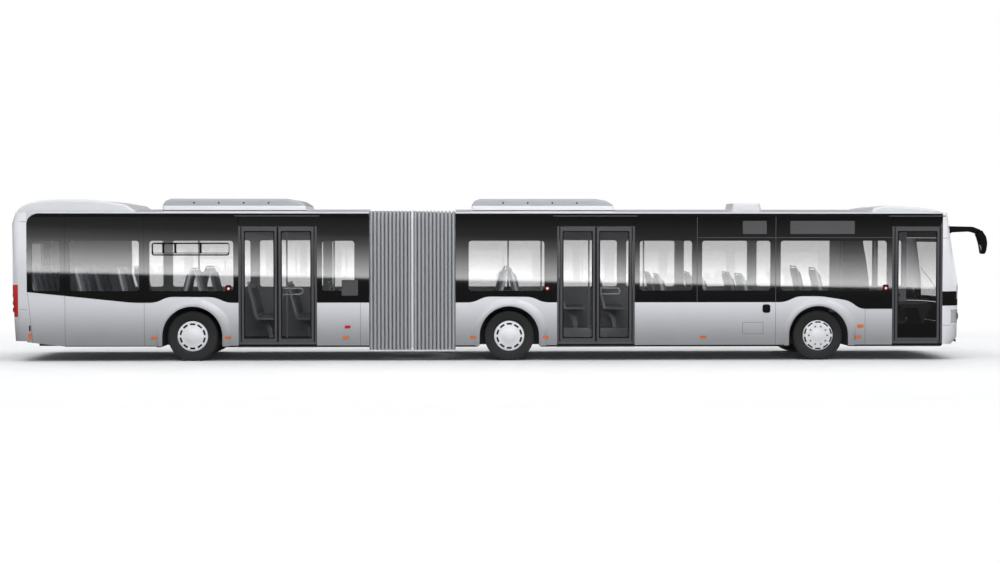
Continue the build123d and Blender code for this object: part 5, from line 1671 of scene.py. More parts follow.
    def skirt(self, shape: Shape, body: str, side: int) -> None:
        """Adds the black strips along the lower edge and under the doors.

        Args:
            shape: Where the faces go.
            body: Which car.
            side: LEFT or RIGHT.
        """
        at, right = self.layout, side == RIGHT
        if body == FRONT:
            doorways = [at.doorway(1), at.doorway(2)]
            last = doorways[0][0] if right else at.cab_x
            arches = [*about(at.middle_axle_x, self.arch), *about(at.front_axle_x, self.arch)]
            ends = [at.front_car_x, *arches, last]
        else:
            doorways = [at.doorway(3)]
            ends = [at.joints["tail"], *about(at.rear_axle_x, self.arch), at.rear_car_x]
        if right:
            ends = sorted([*ends, *doorways[-1]])
        low, (strip_top, sill_top) = self.skirt_z - 0.003, self.strip_tops
        depth = self.face(side, -0.03, 0.0012)
        for x in zip(ends[::2], ends[1::2]):
            shape.box(x, depth, (low, self.skirt_z + strip_top), RUBBER)
        for x in doorways if right else []:
            shape.box(x, depth, (low, self.skirt_z + sill_top), BLACK)

    def door_side(self, shape: Shape, body: str) -> None:
        """Adds what only the side with the doors has.

        Args:
            shape: Where the faces go.
            body: Which car.
        """
        at = self.layout
        # Doorway and how far behind it the button is
        buttons = ((1, 0.125), (2, 0.185)) if body == FRONT else ((3, 0.185),)
        for number, behind in buttons:
            x1, x2 = at.doorway(number)
            shape.box((x1 - 0.07, x2 + 0.05), self.face(RIGHT, -0.004, 0.012), self.gutter_z, JOINT)
            self.button(shape, x1 - behind, self.button_z)
        if body == FRONT:
            self.flap(shape, [at.front_axle_x + x for x in self.flap_x], self.flap_z)
            x, z = at.front_axle_x + self.filler[0], self.filler[1]
            holder = Plate(about(x, 0.074), about(z, 0.080), 0.045, (-0.01, 0.014), BLACK)
            cap = [(0.060, 0.004), (0.058, -0.010), (0.046, -0.012), (0.001, -0.009)]
            shape.lathe(Vector((x, -at.side_y - 0.013, z)), cap, 32, BLACK)
            second = at.joints["second"]
            spans = [(second + start, second + end) for start, end in self.sign_x]
            signs = [Plate(span, self.sign_z, 0.012, (-0.002, 0.0007), SIGN) for span in spans]
            self.plates(shape, RIGHT, [holder, *signs])
        else:
            self.hopper(shape, [at.rear_axle_x + x for x in self.vent_x], self.vent_z)
            x = (at.rear_car_x - 0.520, at.rear_car_x - 0.212)
            self.plates(shape, RIGHT, [Plate(x, (1.239, 1.536), 0.02, (-0.004, 0.004), DOOR_GREY)])

    def button(self, shape: Shape, x: float, z: float) -> None:
        """Adds one door button: a black holder with a blank red and white push.

        Args:
            shape: Where the faces go.
            x: Its place along the bus.
            z: Its height.
        """
        self.plates(shape, RIGHT, [Plate(about(x, 0.055), about(z, 0.068), 0.03, (-0.002, 0.010), BLACK)])
        for radius, out, finish in ((0.036, 0.016, RED), (0.020, 0.019, PLATE)):
            rim = [(radius, 0.004), (radius, -out), (0.8 * radius, -out - 0.002), (0.001, -out - 0.002)]
            shape.lathe(Vector((x, -self.layout.side_y, z)), rim, 24, finish)

    def flap(self, shape: Shape, x: Point, z: Point) -> None:
        """Adds the fine joint round a service flap."""
        inner = round_rect((x[0] + 0.006, x[1] - 0.006), (z[0] + 0.006, z[1] - 0.006), 0.02)
        shape.prism(round_rect(x, z, 0.025), self.face(RIGHT, -0.004, 0.0008), JOINT, [inner])

    def hopper(self, shape: Shape, x: Point, z: Point) -> None:
        """Adds the frame of an opening vent in a window.

        Args:
            shape: Where the faces go.
            x: Ends of the frame.
            z: Its lower and upper edge.
        """
        wide, rail, low = x[1] - x[0], self.vent_rail, z[0] + self.vent_foot
        loops = []
        for part, after in zip(self.vent_parts, self.vent_parts[1:]):
            hole = (x[0] + wide * part + rail, x[0] + wide * after - rail / 2)
            loops.append(round_rect(hole, (low, z[1] - rail), 0.02))
        loops.append(round_rect((x[0] + rail, x[1] - rail), (z[0] + rail, low - rail / 2), 0.012))
        shape.prism(round_rect(x, z, 0.05), self.face(RIGHT, -0.002, 0.006), BLACK, loops)


@dataclass
class Ends:
    """Fittings of the nose and the tail."""

    layout: Layout
    nose_bow: float = 9.0
    tail_bow: float = 20.0
    nose_break: float = 1.40
    nose_top: float = 2.809
    nose_lean: float = 0.245
    low_z: float = 0.42
    low_tuck: float = 0.020
    strip_steps: int = 12
    # Half width, lower and upper edge, thickness and finish of the plates on the nose
    strips: tuple[tuple[float, Point, float, Finish], ...] = (
        (0.62, (0.715, 0.945), 0.004, FRIT),
        (0.27, (0.510, 0.630), 0.008, PLATE),
        (1.0, (0.330, 0.372), 0.004, BLACK),
    )
    # Pivot and tip of each wiper's arm, across and up
    wipers: tuple[tuple[Point, Point], ...] = (
        ((0.20, 1.085), (0.86, 1.50)), ((-0.78, 1.085), (-0.18, 1.48)),
    )
    blade: float = 0.80
    lamp_z: float = 0.83
    # Place across and radius of the headlamps
    lamps: tuple[Point, Point] = ((0.83, 0.085), (1.02, 0.075))
    disc_y: float = 1.075
    disc_r: float = 0.046
    red_discs: Point = (0.97, 1.10)
    amber_discs: Point = (1.25, 1.38)
    slat_count: int = 9
    slat_pitch: float = 0.036
    slat_size: Spot = (0.012, 1.15, 0.020)
    slat_z: float = 0.86

    def nose_x(self, y: float, z: float) -> float:
        """Place of the nose's face.

        Args:
            y: Place across the bus.
            z: Height.

        Returns:
            The place along the bus.
        """
        if z >= self.nose_break:
            tip = -self.nose_lean * (z - self.nose_break) / (self.nose_top - self.nose_break)
        else:
            tip = -self.low_tuck * (self.nose_break - z) / (self.nose_break - self.low_z)
        return self.layout.nose_x + tip - (self.nose_bow - math.sqrt(self.nose_bow**2 - y * y))

    def tail_x(self, y: float) -> float:
        """Place of the tail's face at a point across."""
        return self.layout.tail_x + self.tail_bow - math.sqrt(self.tail_bow**2 - y * y)

    def strip(self, shape: Shape, half: float, z: Point, proud: float, finish: Finish) -> None:
        """Adds a plate that follows the nose's bow.

        Args:
            shape: Where the faces go.
            half: Half its width.
            z: Its lower and upper edge.
            proud: How far it stands out.
            finish: Its finish.
        """
        verts, faces, steps = [], [], self.strip_steps
        for step in range(steps + 1):
            spot = -half + 2 * half * step / steps
            for level in z:
                face = self.nose_x(spot, level)
                verts += [(face - 0.004, spot, level), (face + proud, spot, level)]
        for step in range(steps):
            a, b = 4 * step, 4 * (step + 1)
            faces += [(a + 1, b + 1, b + 3, a + 3), (a, a + 1, b + 1, b), (a + 2, b + 2, b + 3, a + 3)]
        faces += [(0, 1, 3, 2), (4 * steps, 4 * steps + 1, 4 * steps + 3, 4 * steps + 2)]
        shape.put(verts, faces, finish)

    def wiper(self, shape: Shape, root: Point, tip: Point) -> None:
        """Adds one wiper: an arm and its blade, both off the glass.

        Args:
            shape: Where the faces go.
            root: Pivot of the arm, across and up.
            tip: End of the arm, at the blade's middle.
        """
        start, end = Vector(root), Vector(tip)
        way = (end - start).normalized()
        arm = [start.lerp(end, part) for part in (0.0, 0.5, 1.0)]
        blade = [end + way * self.blade * part for part in (-0.5, -0.25, 0.0, 0.25, 0.5)]
        for line, off, radius in ((arm, 0.022, 0.009), (blade, 0.012, 0.007)):
            shape.tube([(self.nose_x(y, z) + off, y, z) for y, z in line], radius, 8, BLACK)
        pivot = Vector((self.nose_x(*root) + 0.001, *root))
        boss = [(0.030, -0.002), (0.028, 0.022), (0.012, 0.030), (0.001, 0.030)]
        shape.lathe(pivot, boss, 20, BLACK, axis=0)

    def build(self) -> None:
        """Makes the nose's and the tail's fittings."""
        nose, tail = Shape(), Shape()
        for row in self.strips:
            self.strip(nose, *row)
        for root, tip in self.wipers:
            self.wiper(nose, root, tip)
        for side, _ in SIDES:
            for y, radius in self.lamps:
                spot = Vector((self.nose_x(y, self.lamp_z) - 0.004, side * y, self.lamp_z))
                rim = [
                    (radius, -0.012), (radius, 0.012), (radius - 0.010, 0.013), (0.75 * radius, 0.004),
                    (0.5 * radius, 0.012), (0.25 * radius, 0.016), (0.001, 0.017),
                ]
                nose.lathe(spot, rim, 32, [BLACK, BLACK, LENS, LENS, LENS, LENS], axis=0)
        nose.build("nose_fittings", [BLACK, FRIT, PLATE, LENS], FRONT, "black_trim", angle=45.0)
        self.mirrors()
        self.slats()
        disc = [(self.disc_r, 0.006), (self.disc_r, -0.001), (self.disc_r - 0.008, -0.002), (0.001, -0.002)]
        for side, _ in SIDES:
            for levels, finish in ((self.red_discs, RED), (self.amber_discs, AMBER)):
                for z in levels:
                    spot = Vector((self.tail_x(self.disc_y) - 0.001, side * self.disc_y, z))
                    tail.lathe(spot, disc, 28, finish, axis=0)
        x = self.tail_x(0.0)
        tail.box((x - 0.006, x + 0.03), (-0.30, 0.30), (0.400, 0.440), BLACK)
        tail.build("tail_fittings", [RED, AMBER, BLACK], REAR, "red_lamp", angle=45.0)

    def mirrors(self) -> None:
        """Makes the mirrors: an arm that bends down into a slim head with its glass."""
        tip, out_y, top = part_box("mirrors")[1]
        arm = eased([
            (-0.765, -0.005), (-0.262, -0.015), (-0.110, -0.075), (-0.070, -0.150), (-0.190, -0.160),
            (-0.235, -0.135), (-0.330, -0.110), (-0.670, -0.125), (-0.765, -0.190),
        ], 0.035, 3)
        head = eased([
            (-0.150, -0.110), (-0.110, -0.075), (-0.022, -0.210), (0.0, -0.330), (-0.022, -0.490),
            (-0.057, -0.544), (-0.091, -0.530), (-0.118, -0.365), (-0.155, -0.235), (-0.185, -0.165),
        ], 0.035, 3)
        back = [(-0.121, -0.350), (-0.117, -0.346), (-0.093, -0.512), (-0.097, -0.516)]
        # Outline from the mirror's tip, two depths from its outer side, and finish
        rows = ((arm, (0.070, 0.130), BLACK), (head, (0.0, 0.205), BLACK), (back, (0.02, 0.185), MIRROR))
        shape = Shape()
        for side, _ in SIDES:
            for outline, inset, finish in rows:
                y = sorted(side * (out_y - value) for value in inset)
                shape.prism([(tip + x, top + z) for x, z in outline], y, finish)
        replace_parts(shape.build("mirror_heads", [BLACK, MIRROR], FRONT, "black_trim", bevel=0.006), "mirrors")

    def slats(self) -> None:
        """Sets the louvres in the engine flap, by geometry nodes."""
        depth, width, height = self.slat_size
        values = {
            "Count": self.slat_count, "Pitch": self.slat_pitch, "Width": width, "Height": height,
            "Depth": depth, "Finish": BLACK.material(),
        }
        place = Matrix.Translation((self.tail_x(0.3) - 0.002, 0.0, self.slat_z))
        spread("engine_louvres", slat_nodes(), values, place, "engine_lid", "black_trim")


def spread(name: str, tree: bpy.types.NodeTree, values: dict, place: Matrix, body: str, slot: str) -> None:
    """Makes a piece by a geometry node group and keeps its plain mesh.

    Args:
        name: Name of the piece.
        tree: The group.
        values: Its inputs by name.
        place: Where the result goes.
        body: CAD body that carries the piece.
        slot: Not used.
    """
    obj = bpy.data.objects.new(name, bpy.data.meshes.new(name))
    bpy.context.scene.collection.objects.link(obj)
    modifier = obj.modifiers.new("repeat", "NODES")
    modifier.node_group = tree
    for item in tree.interface.items_tree:
        if item.item_type == "SOCKET" and item.in_out == "INPUT":
            modifier[item.identifier] = values[item.name]
    graph = bpy.context.evaluated_depsgraph_get()
    mesh = bpy.data.meshes.new_from_object(obj.evaluated_get(graph), depsgraph=graph)
    obj.modifiers.clear()
    mesh.transform(place)
    obj.data = mesh
    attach(obj, body)
    LOG.info("%s: %d faces", name, len(mesh.polygons))


def repeat_nodes(name: str, sizes: Sequence[str]) -> tuple[Graph, object, object]:
    """Starts a geometry node group with named inputs.

    Args:
        name: Name of the group.
        sizes: Names of the inputs that are lengths.

    Returns:
        The group's graph, its inputs and its outgoing socket.
    """
    tree = bpy.data.node_groups.new(name, "GeometryNodeTree")
    tree.interface.new_socket("Geometry", in_out="OUTPUT", socket_type="NodeSocketGeometry")
    kinds = {"Count": "Int", **dict.fromkeys(sizes, "Float"), "Finish": "Material"}
    for label, kind in kinds.items():
        tree.interface.new_socket(label, in_out="INPUT", socket_type=f"NodeSocket{kind}")
    graph = Graph(tree)
    return graph, graph.node("NodeGroupInput").outputs, graph.node("NodeGroupOutput").inputs[0]


def close_nodes(
    graph: Graph, points: Socket, piece: Socket, given: object, out: Socket
) -> bpy.types.NodeTree:
    """Sets a piece on points, makes it real, paints it and ends the group.

    Args:
        graph: Wires of the group.
        points: Where the pieces go.
        piece: The piece that repeats.
        given: The group's inputs.
        out: Its outgoing socket.

    Returns:
        The finished group.
    """
    spots = graph.node("GeometryNodeInstanceOnPoints", {"Points": points, "Instance": piece})
    real = graph.node("GeometryNodeRealizeInstances", {0: spots.outputs[0]})
    values = {"Geometry": real.outputs[0], "Material": given["Finish"]}
    graph.feed(out, graph.node("GeometryNodeSetMaterial", values).outputs[0])
    return graph.tree


def slat_nodes() -> bpy.types.NodeTree:
    """Stacks slats upwards.

    Returns:
        The geometry node group.
    """
    graph, given, out = repeat_nodes("slat_row", ("Pitch", "Width", "Height", "Depth"))
    size = graph.node("ShaderNodeCombineXYZ", {0: given["Depth"], 1: given["Width"], 2: given["Height"]})
    slat = graph.node("GeometryNodeMeshCube", {"Size": size.outputs[0]})
    step = graph.node("ShaderNodeCombineXYZ", {2: given["Pitch"]})
    line = graph.node("GeometryNodeMeshLine", {"Count": given["Count"], "Offset": step.outputs[0]})
    return close_nodes(graph, line.outputs[0], slat.outputs[0], given, out)


def nut_nodes() -> bpy.types.NodeTree:
    """Sets nuts round a circle.

    Returns:
        The geometry node group.
    """
    graph, given, out = repeat_nodes("nut_ring", ("Ring", "Radius", "Depth"))
    size = {"Vertices": 6, "Radius": given["Radius"], "Depth": given["Depth"]}
    nut = graph.node("GeometryNodeMeshCylinder", size)
    ring = graph.node("GeometryNodeMeshCircle", {"Vertices": given["Count"], "Radius": given["Ring"]})
    return close_nodes(graph, ring.outputs[0], nut.outputs[0], given, out)


@dataclass
class RoofTrim:
    """Dark feet and fixings of the roof covers."""

    layout: Layout
    pod_half: float = 0.880
    pod_length: float = 2.780
    fixing_parts: tuple[float, ...] = (0.22, 0.39, 0.56, 0.73)
    fixing_r: float = 0.016
    fixing_z: float = 3.000
    foot_z: Point = (2.846, 2.860)
    foot_inset: float = 0.02

    def build(self) -> None:
        """Adds the fixings along the pods."""
        at, half, length = self.layout, self.pod_half, self.pod_length
        for body, start in ((FRONT, at.middle_axle_x - 0.720), (REAR, at.rear_axle_x - 0.630)):
            shape = Shape()
            for side, _ in SIDES:
                head = [(self.fixing_r, -side * 0.004), (self.fixing_r, side * 0.003), (0.001, side * 0.004)]
                for part in self.fixing_parts:
                    spot = Vector((start + part * length, side * half, self.fixing_z))
                    shape.lathe(spot, head, 16, BLACK)
                y = sorted((side * (half - 0.004), side * (half + 0.012)))
                x = (start + self.foot_inset, start + length - self.foot_inset)
                shape.box(x, y, self.foot_z, BLACK)
            shape.build(f"{body}_pod_fixings", [BLACK], body, "black_trim")


@dataclass
class PadForm:
    """A seat pad, swollen by a cloth simulation from a flat blank."""

    half: Spot = (0.168, 0.192, 0.016)
    cuts: int = 9
    pressure: float = 4.0
    frames: int = 20
    rise: float = 0.020
    verts: list = field(default_factory=list)
    faces: list = field(default_factory=list)

    def blank(self) -> bpy.types.Object:
        """Makes the flat blank that is blown up.

        Returns:
            The blank.
        """
        bm = bmesh.new()
        bmesh.ops.create_cube(bm, size=2.0)
        bmesh.ops.subdivide_edges(bm, edges=list(bm.edges), cuts=self.cuts, use_grid_fill=True)
        for vert in bm.verts:
            vert.co = Vector([part * size for part, size in zip(vert.co, self.half)])
        mesh = bpy.data.meshes.new("pad_blank")
        bm.to_mesh(mesh)
        bm.free()
        obj = bpy.data.objects.new("pad_blank", mesh)
        bpy.context.scene.collection.objects.link(obj)
        return obj

    def swell(self) -> "PadForm":
        """Runs the cloth and keeps the swollen form, flat where it rests.

        Returns:
            The pad itself, with its underside at the origin.
        """
        scene, obj = bpy.context.scene, self.blank()
        cloth = obj.modifiers.new("swell", "CLOTH").settings
        cloth.use_pressure = True
        cloth.uniform_pressure_force = self.pressure
        cloth.effector_weights.gravity = 0.0
        for number in range(1, self.frames + 1):
            scene.frame_set(number)
        swollen = obj.evaluated_get(bpy.context.evaluated_depsgraph_get()).data
        for before, after in zip(obj.data.vertices, swollen.vertices):
            move = after.co - before.co
            move *= min(1.0, self.rise / max(move.length, MERGE))
            move.z = max(move.z, 0.0)
            self.verts.append(before.co + move + Vector((0.0, 0.0, self.half[2])))
        self.faces = [list(face.vertices) for face in obj.data.polygons]
        scene.frame_set(1)
        bpy.data.objects.remove(obj)
        LOG.info("seat pad: %d faces, %.3f m thick", len(self.faces), max(v.z for v in self.verts))
        return self


@dataclass(frozen=True)
class SeatRow:
    """One row of seats: place, side, width, level it stands on, height of its leg and facing."""

    x: float
    side: int
    wide: float
    base: float
    leg: float
    facing: int = 1


@dataclass
class Seats:
    """Seat shells, padded cushions, handles and poles."""

    layout: Layout
    seat_y: float = 1.195
    one_seat: float = 0.43
    leg: float = 0.380
    house_leg: float = 0.190
    podium: float = 0.200
    podium_half: float = 0.40
    double: float = 0.880
    narrow: float = 0.640
    floor_z: float = 0.320
    rear_floor_z: float = 0.640
    rear_step: float = 0.645
    house_z: float = 0.900
    back_to_back: float = 0.355
    house_back: float = 0.880
    bend: Point = (-0.15, 0.06)
    seat_gap: float = 0.012
    lean: float = math.radians(76.0)
    # Side view of the shell, from the seat's middle: along and up
    shell: tuple[Point, ...] = (
        (0.215, 0.000), (0.225, 0.030), (-0.120, 0.028), (-0.150, 0.060), (-0.300, 0.660),
        (-0.335, 0.705), (-0.352, 0.660), (-0.205, 0.050), (-0.170, 0.000),
    )
    cushion_spot: Point = (0.040, 0.0285)
    back_spot: Point = (-0.2245, 0.362)
    back_stretch: Point = (1.6, 0.9)
    grip_spot: Point = (-0.330, 0.690)
    grip_rise: Point = (0.02, 0.045)
    grip_short: float = 0.05
    grip_r: float = 0.012
    pole_r: float = 0.017
    pole_top: float = 2.735
    screen_x: float = 0.822
    screen_y: Point = (0.302, 0.328)
    # Front edge of the driver's screen: along from its back edge, and up
    screen_edge: tuple[Point, ...] = (
        (0.56, 1.252), (0.54, 1.55), (0.49, 1.90), (0.44, 2.15), (0.42, 2.30),
    )

    def rows(self, body: str) -> list[SeatRow]:
        """Lists the seats of a car.

        Args:
            body: Which car.

        Returns:
            Its rows, those over the wheels in pairs back to back.
        """
        at = self.layout
        if body == FRONT:
            front, door = at.front_axle_x, at.doorway(2)[0]
            places = [(door + 0.42, LEFT), (door + 1.22, LEFT)]
            places += [(front - back, side) for side in (LEFT, RIGHT) for back in (2.7, 1.9, 1.1)]
            raised = (self.double, self.floor_z + self.podium, self.leg)
            rows = [SeatRow(x, side, *raised) for x, side in places]
            house = (self.narrow, self.house_z, self.house_leg)
            rows += [SeatRow(front + 0.28, side, *house) for side in (LEFT, RIGHT)]
            return rows + self.pairs(at.middle_axle_x)
        low, high = ((self.double, floor, self.leg) for floor in (self.floor_z, self.rear_floor_z))
        step = at.rear_axle_x - self.rear_step
        rows = [SeatRow(at.rear_car_x - back, LEFT, *low) for back in (0.56, 1.36, 2.16)]
        rows += self.pairs(at.rear_axle_x)
        rows += [SeatRow(step - back, side, *high) for back in (0.42, 1.22) for side in (LEFT, RIGHT)]
        return rows + [SeatRow(at.tail_wall_x + 0.34, LEFT, 2 * self.seat_y, self.rear_floor_z, self.leg)]

    def pairs(self, axle_x: float) -> list[SeatRow]:
        """Lists the seats back to back over an axle, on both sides.

        Args:
            axle_x: Place of the axle.

        Returns:
            Four rows of one or two seats.
        """
        house = (self.narrow, self.house_z, self.house_leg)
        ways = [(side, facing) for side in (LEFT, RIGHT) for facing in (-1, 1)]
        return [SeatRow(axle_x + facing * self.back_to_back, side, *house, facing) for side, facing in ways]

    def poles(self, body: str) -> list[Point]:
        """Lists the handrail poles of a car.

        Args:
            body: Which car.

        Returns:
            Their places along and across the bus.
        """
        at = self.layout
        d2, d3 = at.doorway(2), at.doorway(3)
        if body == REAR:
            return [(d3[1] + 0.26, -0.43), (sum(d3) / 2, 0.34), (at.rear_axle_x, -0.46)]
        jambs = [(d2[0] - 0.26, -0.43), (d2[1] + 0.26, -0.43)]
        return [*jambs, (sum(d2) / 2, 0.42), (at.middle_axle_x, -0.46)]

    def drawn(self, point: Point, row: SeatRow) -> Point:
        """Puts a point of a seat's side view in its place.

        Args:
            point: Place along and up from the seat's middle.
            row: The seat's row, with lower backs over the wheels.

        Returns:
            Place along the bus and height.
        """
        (dx, dz), (bend_x, bend_z) = point, self.bend
        if dz > bend_z and row.leg == self.house_leg:
            dx = bend_x + (dx - bend_x) * self.house_back
            dz = bend_z + (dz - bend_z) * self.house_back
        return row.x + row.facing * dx, row.base + row.leg + dz

    def seat(self, hard: Shape, soft: Shape, form: PadForm, row: SeatRow) -> None:
        """Adds one row: shells on a pedestal, with pads and handles.

        Args:
            hard: Faces of shells, pedestals and handles.
            soft: Faces of cushions.
            form: The form of each pad.
            row: The row.
        """
        count = max(1, round(row.wide / self.one_seat))
        each = row.wide / count
        edge = min(row.side * self.seat_y, row.side * (self.seat_y - row.wide))
        self.leg_bow(hard, row, edge + row.wide / 2)
        if row.base == self.floor_z + self.podium:
            x, y = about(row.x, self.podium_half), (edge, edge + row.wide)
            hard.box(x, y, (self.floor_z, row.base), SHELL)
        tall = self.house_back if row.leg == self.house_leg else 1.0
        half = each / 2 - self.seat_gap
        across, reach = (half - self.seat_gap) / form.half[1], half - self.grip_short
        cushion, back, top = (
            self.drawn(spot, row) for spot in (self.cushion_spot, self.back_spot, self.grip_spot)
        )
        lean = Matrix.Rotation(row.facing * self.lean, 4, "Y")
        long, thick = self.back_stretch
        grip_x, grip_z = top[0] - row.facing * self.grip_rise[0], top[1] + self.grip_rise[1]
        for number in range(count):
            y = edge + each * (number + 0.5)
            hard.prism([self.drawn(point, row) for point in self.shell], about(y, half), SHELL)
            soft.pad(Matrix.Translation((cushion[0], y, cushion[1])), form, (1.0, across, 1.0), CLOTH)
            place = Matrix.Translation((back[0], y, back[1])) @ lean
            soft.pad(place, form, (long * tall, across, thick), CLOTH)
            near, far = about(y, reach)
            grip = [(top[0], near, top[1]), (grip_x, near, grip_z)]
            grip += [(grip_x, far, grip_z), (top[0], far, top[1])]
            hard.tube(grip, self.grip_r, 8, RAIL)

    def leg_bow(self, hard: Shape, row: SeatRow, y: float) -> None:
        """Adds the bowed bracket from the floor up to the back of a seat.

        Args:
            hard: Where the faces go.
            row: The seat's row.
            y: Middle of the row across the bus.
        """
        turns = [math.pi / 2 * step / 8 for step in range(9)]
        outer = [(-0.16 + 0.28 * math.sin(t), row.leg * math.cos(t)) for t in turns]
        inner = [(-0.16 + 0.19 * math.sin(t), (row.leg - 0.09) * math.cos(t)) for t in reversed(turns)]
        outline = [(row.x + row.facing * dx, row.base + dz) for dx, dz in outer + inner]
        hard.prism(outline, about(y, 0.06), SHELL)

    def driver_screen(self, hard: Shape) -> None:
        """Adds the dark screen beside the driver, with its bowed front edge.

        Args:
            hard: Where the faces go.
        """
        x = self.layout.front_axle_x + self.screen_x
        low, top = self.screen_edge[0][1], self.screen_edge[-1][1]
        outline = [(x, low), *[(x + dx, z) for dx, z in self.screen_edge], (x, top)]
        hard.prism(outline, self.screen_y, CAB)

    def build(self) -> None:
        """Makes the seats and poles of both cars."""
        form = PadForm().swell()
        for body in (FRONT, REAR):
            hard, soft = Shape(), Shape()
            for row in self.rows(body):
                self.seat(hard, soft, form, row)
            for x, y in self.poles(body):
                hard.tube([(x, y, self.floor_z), (x, y, self.pole_top)], self.pole_r, 16, RAIL)
            if body == FRONT:
                self.driver_screen(hard)
            car = body.split("_")[0]
            frames = hard.build(f"{car}_seat_frames", [SHELL, CAB, RAIL], body, "seat_cloth", bevel=0.004)
            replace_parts(frames, f"{car}_seats")
            pads = soft.build(f"{car}_cushions", [CLOTH], body, "seat_cloth", angle=80.0)


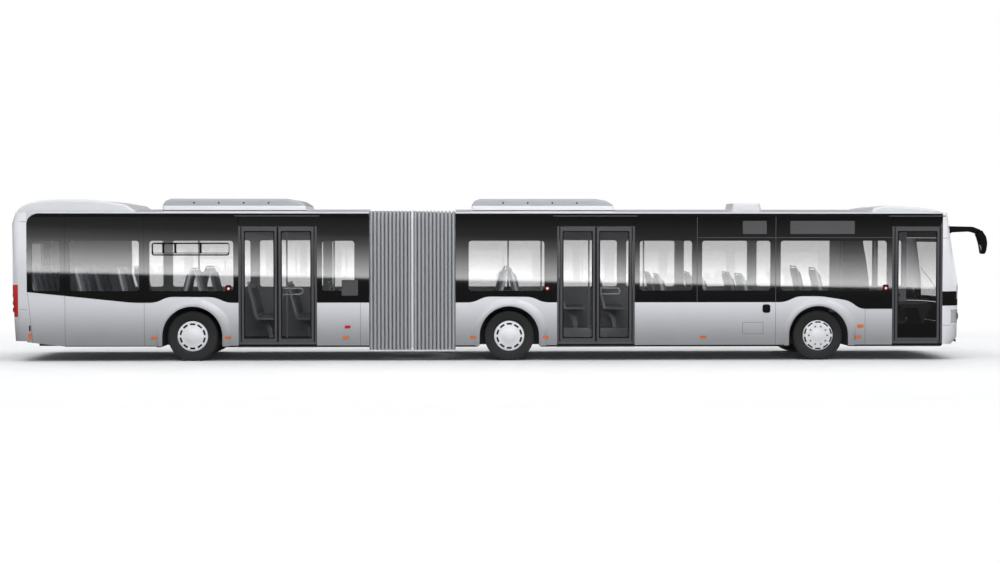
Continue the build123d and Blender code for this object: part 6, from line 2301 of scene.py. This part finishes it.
@dataclass
class Studio:
    """Pale floor, soft lights, a graded reflector and the camera."""

    camera_at: Spot = (-0.80, -31.3, 2.4)
    yaw: float = -1.46
    pitch: float = -1.69
    lens: float = 57.06
    sensor: float = 36.0
    far_clip: float = 400.0
    floor_half: float = 90.0
    floor_sheen: float = 0.004
    floor_tones: Point = (0.88, 0.92)
    floor_fade: Point = (6.5, 11.0)
    wall_r: float = 70.0
    wall_low: float = -70.0
    wall_top: float = 32.0
    wall_sides: int = 96
    # Height on the reflector and brightness there
    levels: tuple[Point, ...] = (
        (-70.0, 0.015), (0.0, 0.015), (1.55, 0.02), (1.75, 1.0), (3.8, 0.65), (6.0, 0.33),
        (8.0, 0.14), (10.0, 0.05), (14.0, 0.015), (22.0, 0.02), (32.0, 0.20),
    )
    wall_glow: float = 3.3
    white: tuple[float, ...] = (1.0, 1.0, 1.0, 1.0)
    sky: tuple[float, ...] = (0.34, 0.35, 0.37, 1.0)
    unlit: bpy.types.Collection | None = None

    def camera(self) -> None:
        """Places the camera where the photograph was taken."""
        data = bpy.data.cameras.new("camera")
        data.lens = self.lens
        data.sensor_width = self.sensor
        data.clip_end = self.far_clip
        obj = bpy.data.objects.new("camera", data)
        obj.location = self.camera_at
        obj.rotation_euler = (math.radians(90.0 + self.pitch), 0.0, math.radians(self.yaw))
        bpy.context.scene.collection.objects.link(obj)
        bpy.context.scene.camera = obj

    def stage_piece(
        self, name: str, verts: Sequence, faces: Sequence
    ) -> tuple[bpy.types.Object, Graph, Socket]:
        """Makes a piece of the stage with an empty material.

        Args:
            name: Name of the piece and of its material.
            verts: Corners in metres.
            faces: Corner numbers of each face.

        Returns:
            The piece, the wires of its material and the socket that its shader goes to.
        """
        material = bpy.data.materials.new(name)
        material.use_nodes = True
        nodes = material.node_tree.nodes
        nodes.remove(nodes["Principled BSDF"])
        mesh = bpy.data.meshes.new(name)
        mesh.from_pydata(verts, [], faces)
        mesh.materials.append(material)
        obj = bpy.data.objects.new(name, mesh)
        bpy.context.scene.collection.objects.link(obj)
        return obj, Graph(material.node_tree), nodes["Material Output"].inputs[0]

    def floor(self) -> None:
        """Lays the pale floor, which fades to white far out."""
        half = self.floor_half
        verts = [(-half, -half, 0), (half, -half, 0), (half, half, 0), (-half, half, 0)]
        obj, graph, out = self.stage_piece("studio_floor", verts, [(0, 1, 2, 3)])
        speck = graph.fade(graph.noise(0.8), 0.2, 0.8, *self.floor_tones)
        tone = graph.node("ShaderNodeCombineColor", {0: speck, 1: speck, 2: speck})
        matt = graph.node("ShaderNodeBsdfDiffuse", {"Color": tone.outputs[0]})
        sheen = graph.node("ShaderNodeBsdfAnisotropic", {"Color": self.white, "Roughness": 0.12})
        near = graph.blend(self.floor_sheen, matt, sheen)
        squeeze = {0: graph.place(), 1: (0.5, 1.0, 1.0)}
        oval = graph.node("ShaderNodeVectorMath", squeeze, operation="MULTIPLY")
        far = graph.node("ShaderNodeVectorMath", {0: oval.outputs[0]}, operation="LENGTH").outputs["Value"]
        glow = graph.node("ShaderNodeEmission", {"Color": self.white, "Strength": 1.0})
        graph.feed(out, graph.blend(graph.fade(far, *self.floor_fade), near, glow).outputs[0])
        obj.visible_glossy = False
        self.unlit.objects.link(obj)
        self.unlit.collection_objects[0].light_linking.link_state = "EXCLUDE"

    def reflector(self) -> None:
        """Stands a round wall that only reflections see, bright above the horizon."""
        ring = circle(self.wall_sides, self.wall_r)
        verts = [(x, y, level) for level in (self.wall_low, self.wall_top) for x, y in ring]
        obj, graph, out = self.stage_piece("studio_reflector", verts, ring_faces(1, self.wall_sides))
        span = self.wall_top - self.wall_low
        part = graph.math("DIVIDE", graph.math("SUBTRACT", graph.axis("Z"), self.wall_low), span, True)
        ramp = graph.node("ShaderNodeValToRGB", {0: part})
        elements = ramp.color_ramp.elements
        while len(elements) < len(self.levels):
            elements.new(0.5)
        for element, (level, bright) in zip(elements, self.levels):
            element.position = (level - self.wall_low) / span
            element.color = (bright, bright, bright, 1.0)
        glow = graph.node("ShaderNodeEmission", {"Color": ramp.outputs[0], "Strength": self.wall_glow})
        graph.feed(out, glow.outputs[0])
        obj.visible_camera = False
        obj.visible_diffuse = False
        obj.visible_transmission = False
        obj.visible_shadow = False

    def world(self) -> None:
        """White for the camera, glossy and transmitted rays, softer for the light."""
        world = bpy.data.worlds.new("studio_world")
        world.use_nodes = True
        bpy.context.scene.world = world
        graph = Graph(world.node_tree)
        back = world.node_tree.nodes["Background"]
        path = graph.node("ShaderNodeLightPath").outputs
        seen = graph.math("ADD", path["Is Camera Ray"], path["Is Glossy Ray"], True)
        seen = graph.math("ADD", seen, path["Is Transmission Ray"], True)
        graph.feed(back.inputs["Color"], graph.mix(seen, self.sky, self.white))
        back.inputs["Strength"].default_value = 1.0

    def lights(self) -> None:
        """Hangs the soft lights."""
        # Name, place, aim, width, depth and power
        rows = (
            ("light_top", (0.0, -2.0, 14.0), (0.0, -2.0, 0.0), 46.0, 30.0, 5400.0),
            ("light_side", (2.0, -20.0, 9.0), (0.0, 0.0, 1.2), 26.0, 6.0, 3800.0),
        )
        for name, spot, aim, wide, deep, power in rows:
            data = bpy.data.lights.new(name, "AREA")
            data.shape = "RECTANGLE"
            data.size, data.size_y, data.energy = wide, deep, power
            obj = bpy.data.objects.new(name, data)
            obj.location = spot
            obj.rotation_euler = (Vector(aim) - Vector(spot)).to_track_quat("-Z", "Y").to_euler()
            obj.visible_glossy = False
            bpy.context.scene.collection.objects.link(obj)
            if name == "light_side":
                obj.light_linking.receiver_collection = self.unlit

    def build(self) -> None:
        """Sets up the whole studio."""
        bpy.context.scene.view_settings.view_transform = "Standard"
        self.unlit = bpy.data.collections.new("out_of_side_light")
        self.camera()
        self.floor()
        self.reflector()
        self.world()
        self.lights()


def main() -> None:
    """Builds every sub-assembly in order."""
    logging.basicConfig(level=logging.INFO, format="%(message)s")
    layout = Layout.read()
    Studio().build()
    glazing = Glazing(layout)
    parts = (
        Shells(layout), glazing, Bellows(layout), Wheels(layout), Doors(layout), Arches(layout),
        SideTrim(layout, glazing), Ends(layout), RoofTrim(layout), Seats(layout),
    )
    for part in parts:
        part.build()


if __name__ == "__main__":
    main()
